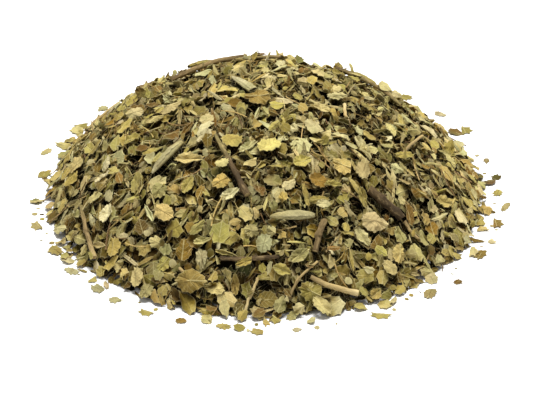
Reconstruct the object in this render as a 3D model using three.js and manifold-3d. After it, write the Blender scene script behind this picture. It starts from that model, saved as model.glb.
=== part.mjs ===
// A loose heap of dried, cut lemon verbena: toothed leaf pieces heaped on a flat surface, with bits of
// brown twig, straw-coloured leaf stalk and rolled leaf lying in it, and single pieces lying round its rim.
// Millimetres, +Z up. The origin is the middle of the heap's flat underside, and -Y is the heap's front.
import * as THREE from "three";
import { mergeVertices } from "three/addons/utils/BufferGeometryUtils.js";
import Module from "manifold-3d";

const wasm = await Module();
wasm.setup();

// The heap
const HEAP_RADIUS = 56;
const HEAP_HEIGHT = 27.4;
const SHOULDER = 3; // how far out the round top reaches before the flank falls away
const SHOULDER_SHIFT = 0.3; // the left flank is fuller than the right one
const TOE = 1.15; // over 1, the flank runs out in a thin toe
const CORE_SINK = 1.6; // the solid core lies this far under the heap's outer surface
const CORE_RINGS = 5;
const CORE_SIDES = 20;

// The leaf pieces in the heap's surface
const PIECE_COUNT = 130;
const PIECE_INSET = 6; // the outermost of them stay this far inside the rim
const PIECE_LENGTH = 10.6;
const PIECE_WIDTH = 8.4;
const PIECE_THICKNESS = 0.75;
const PIECE_TEETH = 4; // every other piece has one more
const PIECE_FOLD = 0.16; // fall of each half towards its edge, for each millimetre from the midrib
const NOTCH = 0.8; // a notch's distance from the middle, as a share of a tooth's
const LEAST_DIP = THREE.MathUtils.degToRad(9); // between a piece and the core's surface
const MOST_DIP = THREE.MathUtils.degToRad(21);
const LEAST_LIFT = -0.35; // of a piece's middle over the core
const MOST_LIFT = 0.25;
const TOE_COUNT = 38; // pieces that lie round the toe, partly on what the heap rests on
const TOE_INSET = 2.3; // of their middles from the rim

// What lies in the surface keeps this clear of the heap
const CLEARANCE = 0.4;
const TWIG_SIDES = 7;
const STALK_SIDES = 6;
const REST_GAP = 0.42; // between a loose piece and the heap's rim

const random = seeded(7);
const UP = new THREE.Vector3(0, 0, 1);

// A small seeded generator, so that every build lays the pieces alike.
function seeded(seed) {
  let state = seed;
  return () => {
    state = (state * 1664525 + 1013904223) % 4294967296;
    return state / 4294967296;
  };
}

function between(low, high) {
  return low + (high - low) * random();
}

// The heap's outer surface above the point x, y.
function heapHeight(x, y, sink = 0) {
  const radius = HEAP_RADIUS - sink;
  const share = Math.hypot(x, y) / radius;
  const shoulder = SHOULDER - SHOULDER_SHIFT * Math.cos(Math.atan2(y, x));
  return share < 1 ? (HEAP_HEIGHT - sink) * (1 - share ** shoulder) ** TOE : 0;
}

function heapNormal(x, y) {
  const step = 0.5;
  const alongX = (heapHeight(x + step, y) - heapHeight(x - step, y)) / (2 * step);
  const alongY = (heapHeight(x, y + step) - heapHeight(x, y - step)) / (2 * step);
  return new THREE.Vector3(-alongX, -alongY, 1).normalize();
}

function geometryOf(points, triangles) {
  const geometry = new THREE.BufferGeometry();
  geometry.setAttribute("position", new THREE.Float32BufferAttribute(points.flat(), 3));
  geometry.setIndex(triangles.flat());
  return geometry;
}

function solidOf(geometry) {
  const bare = geometry.clone();
  bare.deleteAttribute("normal");
  bare.deleteAttribute("uv");
  const merged = mergeVertices(bare, 1e-4);
  return new wasm.Manifold(
    new wasm.Mesh({
      numProp: 3,
      vertProperties: new Float32Array(merged.attributes.position.array),
      triVerts: new Uint32Array(merged.index.array),
    }),
  );
}

function geometryOfSolid(solid) {
  const mesh = solid.getMesh();
  const geometry = new THREE.BufferGeometry();
  geometry.setAttribute("position", new THREE.BufferAttribute(mesh.vertProperties, 3));
  geometry.setIndex(new THREE.BufferAttribute(mesh.triVerts, 1));
  return geometry;
}

// The dome under the leaf pieces, closed by a flat underside.
function coreGeometry() {
  const points = [[0, 0, heapHeight(0, 0, CORE_SINK)]];
  for (let ring = 1; ring <= CORE_RINGS; ring++) {
    const radius = (HEAP_RADIUS - CORE_SINK) * (ring / CORE_RINGS) ** 0.75;
    for (let side = 0; side < CORE_SIDES; side++) {
      const bearing = (2 * Math.PI * (side + 0.5 * (ring % 2))) / CORE_SIDES;
      const x = radius * Math.cos(bearing);
      const y = radius * Math.sin(bearing);
      points.push([x, y, ring < CORE_RINGS ? heapHeight(x, y, CORE_SINK) : 0]);
    }
  }
  points.push([0, 0, 0]);
  const at = (ring, side) => 1 + (ring - 1) * CORE_SIDES + (side % CORE_SIDES);
  const underside = points.length - 1;
  const triangles = [];
  for (let side = 0; side < CORE_SIDES; side++) {
    triangles.push([0, at(1, side), at(1, side + 1)]);
    for (let ring = 1; ring < CORE_RINGS; ring++) {
      const shifted = ring % 2; // odd rings stand half a side on
      const inner = at(ring, side);
      const innerNext = at(ring, side + 1);
      const outer = at(ring + 1, side);
      const outerNext = at(ring + 1, side + 1);
      if (shifted) triangles.push([inner, outer, outerNext], [inner, outerNext, innerNext]);
      else triangles.push([inner, outer, innerNext], [innerNext, outer, outerNext]);
    }
    triangles.push([underside, at(CORE_RINGS, side + 1), at(CORE_RINGS, side)]);
  }
  return geometryOf(points, triangles);
}

// A toothed leaf piece, folded along its midrib, which lies along X. Its underside is at z = 0 in the fold's
// lowest edge or, with no fold, all over. Both faces are split alike.
function leafPiece({ length, width, teeth, thickness, fold }) {
  const count = 2 * teeth;
  const outline = [];
  for (let k = 0; k < count; k++) {
    const bearing = (2 * Math.PI * k) / count;
    const reach = (k % 2 ? NOTCH : 1) * between(0.9, 1.08);
    const x = (length / 2) * reach * Math.cos(bearing);
    const onMidrib = k % teeth === 0;
    outline.push([x, onMidrib ? 0 : (width / 2) * reach * Math.sin(bearing)]);
  }
  const drop = fold * Math.max(...outline.map((point) => Math.abs(point[1])));
  const height = ([, y]) => drop - fold * Math.abs(y);
  const halves = [
    [...Array(teeth + 1).keys()],
    [...Array(teeth + 1).keys()].map((k) => (k + teeth) % count),
  ];
  const upper = halves.flatMap((half) => {
    const contour = half.map((k) => new THREE.Vector2(...outline[k]));
    return THREE.ShapeUtils.triangulateShape(contour, []).map((face) => face.map((k) => half[k]));
  });
  const points = [
    ...outline.map((point) => [...point, height(point) + thickness]),
    ...outline.map((point) => [...point, height(point)]),
  ];
  const triangles = [...upper, ...upper.map(([a, b, c]) => [a + count, c + count, b + count])];
  for (let k = 0; k < count; k++) {
    const next = (k + 1) % count;
    triangles.push([k, k + count, next + count], [k, next + count, next]);
  }
  return geometryOf(points, triangles);
}

// Turns a geometry so that its Z axis points along normal and its X axis is turned by heading about it.
function placed(geometry, centre, normal, heading) {
  const turn = new THREE.Quaternion().setFromUnitVectors(UP, normal);
  turn.multiply(new THREE.Quaternion().setFromAxisAngle(UP, heading));
  return geometry.applyMatrix4(
    new THREE.Matrix4().compose(centre, turn, new THREE.Vector3(1, 1, 1)),
  );
}

// A piece lies nearer level than the flank under it, so its upper edge dips in and its lower edge stands out.
// On the crown, where nothing is uphill, it dips any way.
function slippedNormal(x, y) {
  const normal = heapNormal(x, y);
  const uphill = new THREE.Vector3(-x, -y, 0).normalize();
  uphill.addScaledVector(normal, -normal.dot(uphill)).normalize();
  const steepness = Math.min(1, (1 - normal.z) / 0.08);
  const swing = between(-Math.PI, Math.PI) * (1 - 0.62 * steepness);
  uphill.applyAxisAngle(normal, swing);
  return normal.clone().addScaledVector(uphill, Math.tan(between(LEAST_DIP, MOST_DIP))).normalize();
}

// Distances from the heap's axis that split its surface into equal areas, one for each leaf piece.
function evenDistances() {
  const steps = 400;
  const reach = HEAP_RADIUS - PIECE_INSET;
  const areas = [0];
  for (let k = 0; k < steps; k++) {
    const radius = (reach * (k + 0.5)) / steps;
    areas.push(areas[k] + radius / heapNormal(radius, 0).z);
  }
  const distances = [];
  for (let k = 0; k < PIECE_COUNT; k++) {
    const wanted = (areas[steps] * (k + 0.5)) / PIECE_COUNT;
    distances.push((reach * areas.findIndex((area) => area >= wanted)) / steps);
  }
  return distances;
}

// The leaf pieces of the surface, spread evenly by the golden angle and laid like slipped tiles.
function surfacePieces() {
  const golden = Math.PI * (3 - Math.sqrt(5));
  const pieces = [];
  evenDistances().forEach((radius, k) => {
    const bearing = k * golden + between(-0.5, 0.5) / (2 + radius / 6);
    const x = radius * Math.cos(bearing);
    const y = radius * Math.sin(bearing);
    const size = between(0.78, 1.15);
    const piece = leafPiece({
      length: PIECE_LENGTH * size,
      width: PIECE_WIDTH * size * between(0.85, 1.1),
      teeth: PIECE_TEETH + (k % 2),
      thickness: PIECE_THICKNESS,
      fold: PIECE_FOLD * between(0.3, 1.6),
    });
    const normal = slippedNormal(x, y);
    const height = heapHeight(x, y, CORE_SINK) + between(LEAST_LIFT, MOST_LIFT);
    const centre = new THREE.Vector3(x, y, height);
    pieces.push(solidOf(placed(piece, centre, normal, between(0, 2 * Math.PI))));
  });
  return pieces;
}

// Pieces that slid down to the toe, each with one edge in the core and the other on the ground.
function toePieces() {
  const pieces = [];
  for (let k = 0; k < TOE_COUNT; k++) {
    const bearing = (2 * Math.PI * (k + between(-0.3, 0.3))) / TOE_COUNT;
    const distance = HEAP_RADIUS - TOE_INSET + between(-0.6, 0.6);
    const size = between(0.65, 0.9);
    const piece = leafPiece({
      length: PIECE_LENGTH * size,
      width: PIECE_WIDTH * size,
      teeth: PIECE_TEETH,
      thickness: PIECE_THICKNESS,
      fold: 0,
    });
    const outward = new THREE.Vector3(Math.cos(bearing), Math.sin(bearing), 0);
    const centre = outward.clone().multiplyScalar(distance).setZ(between(1.1, 1.8));
    const normal = UP.clone().addScaledVector(outward, between(0.35, 0.8)).normalize();
    pieces.push(solidOf(placed(piece, centre, normal, between(0, 2 * Math.PI))));
  }
  return pieces;
}

// A closed round stalk through the points, with a radius at each end.
function stalkGeometry(points, radii, sides, grow = 0) {
  const route = new THREE.CatmullRomCurve3(points.map((point) => new THREE.Vector3(...point)));
  const sections = 2 * (points.length - 1);
  const frames = route.computeFrenetFrames(sections, false);
  const rings = [];
  for (let k = 0; k <= sections; k++) {
    const share = k / sections;
    const middle = route.getPointAt(share);
    if (k === 0) middle.addScaledVector(frames.tangents[k], -grow);
    if (k === sections) middle.addScaledVector(frames.tangents[k], grow);
    const radius = THREE.MathUtils.lerp(radii[0], radii[1], share) + grow;
    for (let side = 0; side < sides; side++) {
      const bearing = (2 * Math.PI * side) / sides;
      const point = middle.clone();
      point.addScaledVector(frames.normals[k], radius * Math.cos(bearing));
      point.addScaledVector(frames.binormals[k], radius * Math.sin(bearing));
      rings.push(point.toArray());
    }
  }
  const triangles = [];
  for (let side = 0; side < sides; side++) {
    const next = (side + 1) % sides;
    for (let k = 0; k < sections; k++) {
      const near = k * sides;
      const far = near + sides;
      triangles.push([near + side, near + next, far + next], [near + side, far + next, far + side]);
    }
  }
  const last = sections * sides;
  for (let side = 1; side < sides - 1; side++) {
    triangles.push([0, side + 1, side], [last, last + side, last + side + 1]);
  }
  return geometryOf(rings, triangles);
}

// Points on the heap's surface above a list of [x, y], raised by lift.
function onHeap(route, lift) {
  return route.map(([x, y]) => [x, y, Math.max(heapHeight(x, y), 0) + lift]);
}

// A rolled leaf piece's ends on the heap, and its directions along, across and out of the surface.
function rollFrame({ from, to }) {
  const [start, end] = onHeap([from, to], 0).map((point) => new THREE.Vector3(...point));
  const along = end.clone().sub(start);
  const length = along.length();
  along.normalize();
  const normal = heapNormal((from[0] + to[0]) / 2, (from[1] + to[1]) / 2);
  const across = new THREE.Vector3().crossVectors(normal, along).normalize();
  const out = new THREE.Vector3().crossVectors(along, across);
  return { start, end, length, along, across, out };
}

// A leaf piece rolled lengthwise to a pointed trough that opens upwards.
function rolledLeaf(roll) {
  const { start, length, along, across, out } = rollFrame(roll);
  const { width } = roll;
  const sections = 4;
  const spans = 4;
  const thickness = 0.65;
  const curl = 1.25; // half the angle that the roll closes through
  const rows = [];
  for (const inset of [0, thickness]) {
    for (let k = 0; k <= sections; k++) {
      const share = k / sections;
      const radius = (width / 2) * (0.45 + 0.55 * Math.sin(Math.PI * share)) - inset;
      for (let j = 0; j <= spans; j++) {
        const angle = curl * (1 - (2 * j) / spans);
        const point = start.clone().addScaledVector(along, length * share);
        point.addScaledVector(across, radius * Math.sin(angle));
        point.addScaledVector(out, width / 2 - radius * Math.cos(angle));
        rows.push(point.toArray());
      }
    }
  }
  const per = (sections + 1) * (spans + 1);
  const at = (side, k, j) => side * per + k * (spans + 1) + j;
  const triangles = [];
  const quad = (a, b, c, d) => triangles.push([a, c, b], [a, d, c]);
  for (let k = 0; k < sections; k++) {
    for (let j = 0; j < spans; j++) {
      quad(at(0, k, j), at(0, k, j + 1), at(0, k + 1, j + 1), at(0, k + 1, j));
      quad(at(1, k, j), at(1, k + 1, j), at(1, k + 1, j + 1), at(1, k, j + 1));
    }
    quad(at(0, k, 0), at(0, k + 1, 0), at(1, k + 1, 0), at(1, k, 0));
    quad(at(0, k, spans), at(1, k, spans), at(1, k + 1, spans), at(0, k + 1, spans));
  }
  for (let j = 0; j < spans; j++) {
    quad(at(0, 0, j), at(1, 0, j), at(1, 0, j + 1), at(0, 0, j + 1));
    quad(at(0, sections, j), at(0, sections, j + 1), at(1, sections, j + 1), at(1, sections, j));
  }
  return geometryOf(rows, triangles);
}

// Brown twigs: the points that each passes over on the heap, and its radius at both ends.
const BROWN_TWIGS = [
  { route: [[-24, 17], [-15, 25], [-6, 33]], radii: [0.6, 0.75] },
  { route: [[-12.5, -14.5], [-9.3, -23], [-4.7, -33]], radii: [0.55, 0.95] },
  { route: [[24.8, -26.5], [29, -28], [32.8, -29.5]], radii: [1.1, 1.0] },
  { route: [[33.4, -29.7], [35.4, -31.2], [38, -31.6]], radii: [0.45, 0.3] },
  { route: [[13.8, -37], [12.6, -40], [11.6, -43.4]], radii: [0.8, 0.7] },
  { route: [[-11, -45], [-4, -45.6], [3, -45.2]], radii: [0.55, 0.5] },
  { route: [[-45.7, -18], [-44.2, -25], [-42, -33]], radii: [0.45, 0.65] },
  { route: [[-21, -44.5], [-17, -47], [-13, -47.5]], radii: [0.45, 0.35] },
  { route: [[18, 30], [27, 24], [34, 15]], radii: [0.8, 0.6] },
  { route: [[-33, 27], [-30, 35], [-24, 41]], radii: [0.7, 0.9] },
  { route: [[6, 44], [12, 43], [20, 44]], radii: [0.6, 0.5] },
];

// Straw-coloured leaf stalks, given alike.
const STRAW_STALKS = [
  { route: [[10.6, -48], [16, -48.7], [21.8, -48.3]], radii: [0.55, 0.75] },
  { route: [[-2.1, -48.8], [-4, -52], [-5.7, -54.8]], radii: [0.4, 0.4] },
  { route: [[12.2, -45], [8, -48.3], [5.3, -52]], radii: [0.35, 0.35] },
  { route: [[39, 2.4], [36, -4.5], [33, -12]], radii: [0.35, 0.4] },
  { route: [[19.3, 1.6], [19.6, -3], [20.6, -7.5]], radii: [0.5, 0.4] },
  { route: [[-8, 26], [0, 31], [9, 30]], radii: [0.45, 0.55] },
  { route: [[-46, 14], [-44, 22], [-38, 28]], radii: [0.4, 0.5] },
];

// Leaf pieces that dried into a roll, from one end to the other.
const ROLLED_LEAVES = [
  { from: [-8.8, 13.6], to: [-3.4, 5.2], width: 2.6 },
  { from: [-20.4, -15], to: [-27.8, -22], width: 3.0 },
  { from: [0.8, -37.6], to: [11.6, -36.2], width: 2.6 },
  { from: [28, 26], to: [20, 33], width: 2.8 },
  { from: [-20, 32], to: [-12, 38], width: 2.8 },
];

// Single pieces on the surface round the rim: bearing in degrees from +X, distance of the middle from the
// heap's axis, length, share of the length that is its width, and the colour of leaf.
const LOOSE_PIECES = [
  [160, 60.5, 3.8, 0.5, "pale"],
  [170, 57.5, 3.6, 0.8, "green"],
  [183, 58, 2.8, 0.7, "green"],
  [194, 58.5, 3.8, 0.7, "green"],
  [206, 58, 3.7, 0.8, "green"],
  [216, 58.5, 4.6, 0.55, "pale"],
  [226, 58.5, 3.4, 0.8, "pale"],
  [232, 59.2, 3.2, 0.7, "pale"],
  [241, 59.2, 3.2, 0.6, "green"],
  [250, 59, 2.6, 0.85, "brown"],
  [260, 58.5, 3.7, 0.6, "green"],
  [268, 60, 3.4, 0.7, "green"],
  [277, 59.5, 2.2, 0.8, "pale"],
  [297, 59.5, 5.0, 0.45, "green"],
  [312, 59, 3.9, 0.7, "green"],
  [320, 60.5, 2.5, 0.8, "brown"],
  [333, 59, 4.2, 0.6, "brown"],
  [339, 59.5, 2.4, 0.75, "pale"],
  [347, 58.6, 3.8, 0.7, "brown"],
  [355, 60.5, 4.2, 0.4, "pale"],
  [1, 58.5, 2.9, 0.8, "green"],
  [8, 59, 2.7, 0.85, "brown"],
  [16, 58.8, 2.4, 0.6, "green"],
];
const BACK_PIECES = 11; // more of them behind, between these bearings
const BACK_FROM = 27;
const BACK_TO = 152;
const LOOSE_THICKNESS = 0.6;

const materials = {
  green: new THREE.MeshStandardMaterial({ color: 0x8e8252, roughness: 0.85, metalness: 0 }),
  pale: new THREE.MeshStandardMaterial({ color: 0xb5a873, roughness: 0.85, metalness: 0 }),
  brown: new THREE.MeshStandardMaterial({ color: 0x5d4d38, roughness: 0.85, metalness: 0 }),
  twig: new THREE.MeshStandardMaterial({ color: 0x5f4a38, roughness: 0.9, metalness: 0 }),
  straw: new THREE.MeshStandardMaterial({ color: 0xc0a678, roughness: 0.75, metalness: 0 }),
};

const heap = new THREE.Group();
const cuts = []; // the room that each piece in the surface keeps in the heap

function addNode(name, geometry, material) {
  const mesh = new THREE.Mesh(geometry, materials[material]);
  mesh.name = name;
  heap.add(mesh);
}

function addStalks(list, name, sides, material) {
  list.forEach(({ route, radii }, k) => {
    const points = onHeap(route, 0.45 * Math.max(...radii));
    const lowest = Math.max(...radii) + 0.02;
    for (const point of points) point[2] = Math.max(point[2], lowest);
    addNode(`${name}_${k + 1}`, stalkGeometry(points, radii, sides), material);
    cuts.push(solidOf(stalkGeometry(points, radii, sides, CLEARANCE)));
  });
}

function addRolledLeaves() {
  ROLLED_LEAVES.forEach((roll, k) => {
    addNode(`rolled_leaf_${k + 1}`, rolledLeaf(roll), k % 2 ? "green" : "pale");
    const { start, end, out } = rollFrame(roll);
    const reach = roll.width / 2;
    const ends = [start, start.clone().lerp(end, 0.5), end];
    const middle = ends.map((point) => point.clone().addScaledVector(out, reach).toArray());
    cuts.push(solidOf(stalkGeometry(middle, [reach, reach], 8, CLEARANCE + 0.15)));
  });
}

function looseList() {
  const list = LOOSE_PIECES.slice();
  for (let k = 0; k < BACK_PIECES; k++) {
    const share = (k + between(0.2, 0.8)) / BACK_PIECES;
    const bearing = BACK_FROM + (BACK_TO - BACK_FROM) * share;
    const colour = ["green", "pale", "green", "brown"][k % 4];
    list.push([bearing, between(58.3, 60.5), between(2.6, 4.4), between(0.5, 0.85), colour]);
  }
  return list;
}

function addLoosePieces() {
  looseList().forEach(([bearing, distance, length, share, colour], k) => {
    const piece = leafPiece({
      length,
      width: length * share,
      teeth: 4 + (k % 2),
      thickness: LOOSE_THICKNESS,
      fold: 0,
    });
    const angle = THREE.MathUtils.degToRad(bearing);
    const centre = new THREE.Vector3(distance * Math.cos(angle), distance * Math.sin(angle), 0);
    const heading = angle + Math.PI / 2 + between(-0.6, 0.6);
    placed(piece, centre, UP, heading);
    addNode(`loose_piece_${String(k + 1).padStart(2, "0")}`, piece, colour);
    const room = leafRoom(piece, centre);
    cuts.push(room);
  });
}

// The room round a loose piece, which the heap's rim keeps clear of.
function leafRoom(piece, centre) {
  piece.computeBoundingBox();
  const size = piece.boundingBox.getSize(new THREE.Vector3());
  const radius = Math.max(size.x, size.y) / 2 + REST_GAP;
  const room = new THREE.CylinderGeometry(radius, radius, 2 * (LOOSE_THICKNESS + REST_GAP), 8);
  room.rotateX(Math.PI / 2);
  room.translate(centre.x, centre.y, 0);
  return solidOf(room);
}

// What lies under the surface that the heap rests on.
function belowGround() {
  const slab = new THREE.BoxGeometry(200, 200, 20);
  slab.translate(0, 0, -10);
  return solidOf(slab);
}

function addHeap() {
  let solid = wasm.Manifold.union([solidOf(coreGeometry()), ...surfacePieces(), ...toePieces()]);
  solid = solid.subtract(wasm.Manifold.union([belowGround(), ...cuts]));
  solid = solid.simplify(0.02);
  const largest = solid.decompose().sort((a, b) => b.volume() - a.volume())[0];
  addNode("leaf_heap", geometryOfSolid(largest), "green");
}

addStalks(BROWN_TWIGS, "brown_twig", TWIG_SIDES, "twig");
addStalks(STRAW_STALKS, "straw_stalk", STALK_SIDES, "straw");
addRolledLeaves();
addLoosePieces();
addHeap();

export default heap;
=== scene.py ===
import math
from collections import Counter

import bpy
import numpy as np
from mathutils import Matrix, Vector


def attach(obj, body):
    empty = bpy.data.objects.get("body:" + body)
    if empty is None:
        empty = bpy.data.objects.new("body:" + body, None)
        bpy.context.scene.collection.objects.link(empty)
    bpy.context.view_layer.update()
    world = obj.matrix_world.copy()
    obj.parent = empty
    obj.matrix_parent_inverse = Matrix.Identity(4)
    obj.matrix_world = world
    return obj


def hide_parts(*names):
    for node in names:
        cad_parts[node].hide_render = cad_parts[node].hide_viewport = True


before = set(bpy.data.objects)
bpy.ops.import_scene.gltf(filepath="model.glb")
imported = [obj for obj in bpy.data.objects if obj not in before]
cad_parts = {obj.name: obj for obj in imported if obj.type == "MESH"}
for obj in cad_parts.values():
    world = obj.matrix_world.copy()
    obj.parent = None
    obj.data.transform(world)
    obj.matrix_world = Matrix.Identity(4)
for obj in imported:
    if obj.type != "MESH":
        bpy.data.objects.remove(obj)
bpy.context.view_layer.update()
mm = 0.001
draw = np.random.default_rng(11)
print("frame loaded:", len(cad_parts), "nodes")


view = {
    "photo": (533, 400),  # px
    "elevation": 32,  # degrees
    "distance": 784,  # mm
    "pxPerMm": 3.99,  # at the point looked at
    "heapMiddle": (266.5, 158.5),  # px, where the point 11 mm up the heap's axis shows
    "axisHeight": 11.0,  # mm
    "sensor": 36,
    "search": {"from": 0.9, "step": 0.0002, "steps": 900},  # shares of the distance
    "rim": 1,  # mm inside the heap's edge, where no piece is placed by the picture
    "flatten": 0.7,  # how much shorter a length away from the camera looks on the heap
}


def viewAxes():
    tilt = math.radians(view["elevation"])
    ahead = Vector((0, math.cos(tilt), -math.sin(tilt)))
    right = Vector((1, 0, 0))
    return ahead, right, right.cross(ahead)


def cameraPlace():
    ahead, _, _ = viewAxes()
    return Vector((0, 0, view["axisHeight"])) - ahead * view["distance"]


def lookingAlong(direction):
    return direction.to_track_quat("-Z", "Y").to_euler()


def addCamera():
    ahead, right, up = viewAxes()
    wide, high = view["photo"]
    acrossPx = view["heapMiddle"][0] - wide / 2
    downPx = high / 2 - view["heapMiddle"][1]
    aim = Vector((0, 0, view["axisHeight"]))
    aim -= (right * acrossPx + up * downPx) / view["pxPerMm"]
    place = cameraPlace()
    bpy.ops.object.camera_add(location=place * mm, rotation=lookingAlong(aim - place))
    camera = bpy.context.object
    camera.name = "photoCamera"
    camera.data.sensor_width = view["sensor"]
    camera.data.lens = view["sensor"] * view["distance"] * view["pxPerMm"] / wide
    camera.data.clip_start = 0.01
    bpy.context.scene.camera = camera


# The spot on the heap that shows at a place in the picture, or the nearest one to it on the skyline.
def spotAt(px, py):
    ahead, right, up = viewAxes()
    ray = ahead * view["distance"]
    ray += right * (px - view["heapMiddle"][0]) / view["pxPerMm"]
    ray -= up * (py - view["heapMiddle"][1]) / view["pxPerMm"]
    start = cameraPlace()
    nearest = (math.inf, start)
    for step in range(view["search"]["steps"]):
        point = start + ray * (view["search"]["from"] + step * view["search"]["step"])
        if math.hypot(point.x, point.y) > heap["radius"] - view["rim"]:
            continue
        clear = point.z - float(heapHeight(point.x, point.y))
        if clear < nearest[0]:
            nearest = (clear, point)
        if clear <= 0:
            break
    return nearest[1].x, nearest[1].y


light = {
    "world": 0.24,
    "key": {"place": (40, 90, 620), "size": 280, "power": 6.6},
    "fill": {"place": (-330, -380, 420), "size": 500, "power": 0.4},
    "floor": {"pale": 0.95, "size": 6, "roughness": 0.9},  # size in m
}


def addLight(name, place, size, power):
    place = Vector(place)
    bpy.ops.object.light_add(type="AREA", location=place * mm, rotation=lookingAlong(-place))
    lamp = bpy.context.object
    lamp.name = name
    lamp.data.size = size * mm
    lamp.data.energy = power


def makeStage():
    scene = bpy.context.scene
    scene.view_settings.view_transform = "Standard"
    scene.view_settings.look = "None"
    world = bpy.data.worlds.new("studio")
    scene.world = world
    world.use_nodes = True
    world.node_tree.nodes["Background"].inputs["Color"].default_value = (1, 1, 1, 1)
    world.node_tree.nodes["Background"].inputs["Strength"].default_value = light["world"]
    addLight("keyLight", **light["key"])
    addLight("fillLight", **light["fill"])
    deselectAll()
    bpy.ops.mesh.primitive_plane_add(size=light["floor"]["size"])
    floor = bpy.context.object
    floor.name = "floor"
    material, _ = newMaterial("paleFloor")
    pale = light["floor"]["pale"]
    connect(material, (pale, pale, pale, 1), light["floor"]["roughness"], specular=0.0)
    floor.data.materials.append(material)


# A socket that can stand in sums. Any other node comes from node().
class Signal:
    def __init__(self, tree, socket=None):
        self.tree = tree
        self.socket = socket

    def node(self, kind, settings=(), sockets=(), output=0):
        made = self.tree.nodes.new("ShaderNode" + kind)
        for name, value in dict(settings).items():
            if name == "stops":
                fillRamp(made.color_ramp, value)
            else:
                setattr(made, name, value)
        for name, value in dict(sockets).items():
            if isinstance(value, Signal):
                self.tree.links.new(value.socket, made.inputs[name])
            else:
                made.inputs[name].default_value = value
        return Signal(self.tree, made.outputs[output])

    def math(self, operation, first, second=0.0):
        return self.node("Math", {"operation": operation}, {0: first, 1: second})

    def __add__(self, other):
        return self.math("ADD", self, other)

    def __sub__(self, other):
        return self.math("SUBTRACT", self, other)

    def __mul__(self, other):
        return self.math("MULTIPLY", self, other)

    __radd__ = __add__
    __rmul__ = __mul__

    def __rsub__(self, other):
        return self.math("SUBTRACT", other, self)

    def between(self, low, high, atLow=0.0, atHigh=1.0):
        return self.node(
            "MapRange",
            {"interpolation_type": "SMOOTHSTEP"},
            {"Value": self, "From Min": low, "From Max": high, "To Min": atLow, "To Max": atHigh},
        )

    def blend(self, factor, other, how="MIX"):
        return self.node(
            "Mix",
            {"data_type": "RGBA", "blend_type": how},
            {0: factor, 6: self, 7: other},
            2,
        )


def fillRamp(ramp, stops):
    while len(ramp.elements) < len(stops):
        ramp.elements.new(0.5)
    for element, (place, colour) in zip(ramp.elements, stops):
        element.position = place
        element.color = colour


# A colour as it shows on a screen, from 0 to 255, for the shader.
def paint(red, green, blue):
    linear = []
    for part in (red, green, blue):
        share = part / 255
        linear.append(share / 12.92 if part <= 10 else ((share + 0.055) / 1.055) ** 2.4)
    return (*linear, 1.0)


def newMaterial(name):
    material = bpy.data.materials.new(name)
    material.use_nodes = True
    return material, Signal(material.node_tree)


def connect(material, colour, roughness, height=None, bump=(0.5, 0.0002), specular=0.3):
    tree = material.node_tree
    shader = tree.nodes["Principled BSDF"]
    shader.inputs["Specular IOR Level"].default_value = specular
    for name, value in (("Base Color", colour), ("Roughness", roughness)):
        if isinstance(value, Signal):
            tree.links.new(value.socket, shader.inputs[name])
        else:
            shader.inputs[name].default_value = value
    if height:
        strength, distance = bump
        normal = height.node("Bump", (), {"Strength": strength, "Distance": distance, "Height": height})
        tree.links.new(normal.socket, shader.inputs["Normal"])
    return material


def noise(start, coordinates, scale, detail=3.0, roughness=0.55, distortion=0.0):
    sockets = {"Vector": coordinates, "Scale": scale, "Detail": detail}
    return start.node("TexNoise", (), sockets | {"Roughness": roughness, "Distortion": distortion})


leafLook = {
    "veinGap": 1.05,  # mm along the midrib, on a leaf piece of the usual size
    "veinLean": 0.85,
    "brown": paint(112, 89, 48),
    "green": paint(128, 134, 78),
    # pale leaf margin, partly a painted highlight where the edges catch light
    "paleEdge": paint(226, 214, 170),
    "vein": paint(214, 200, 142),
    "darkVein": paint(96, 78, 40),
    "net": 26,  # cells of the finest veins in a cm
    "blotches": 420,  # this and the next are patches in a metre
    "specks": 2600,
    "freshPatches": 190,
    "oldPatches": 260,
    "darkVeinPatches": 150,
    "creases": 430,
    "dents": 620,
    "grain": 1500,
    "bump": (0.7, 0.00026),  # strength, and depth in m
}


def multiplied(colour, value):
    return colour.blend(1.0, value.node("CombineColor", (), {0: value, 1: value, 2: value}), "MULTIPLY")


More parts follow.
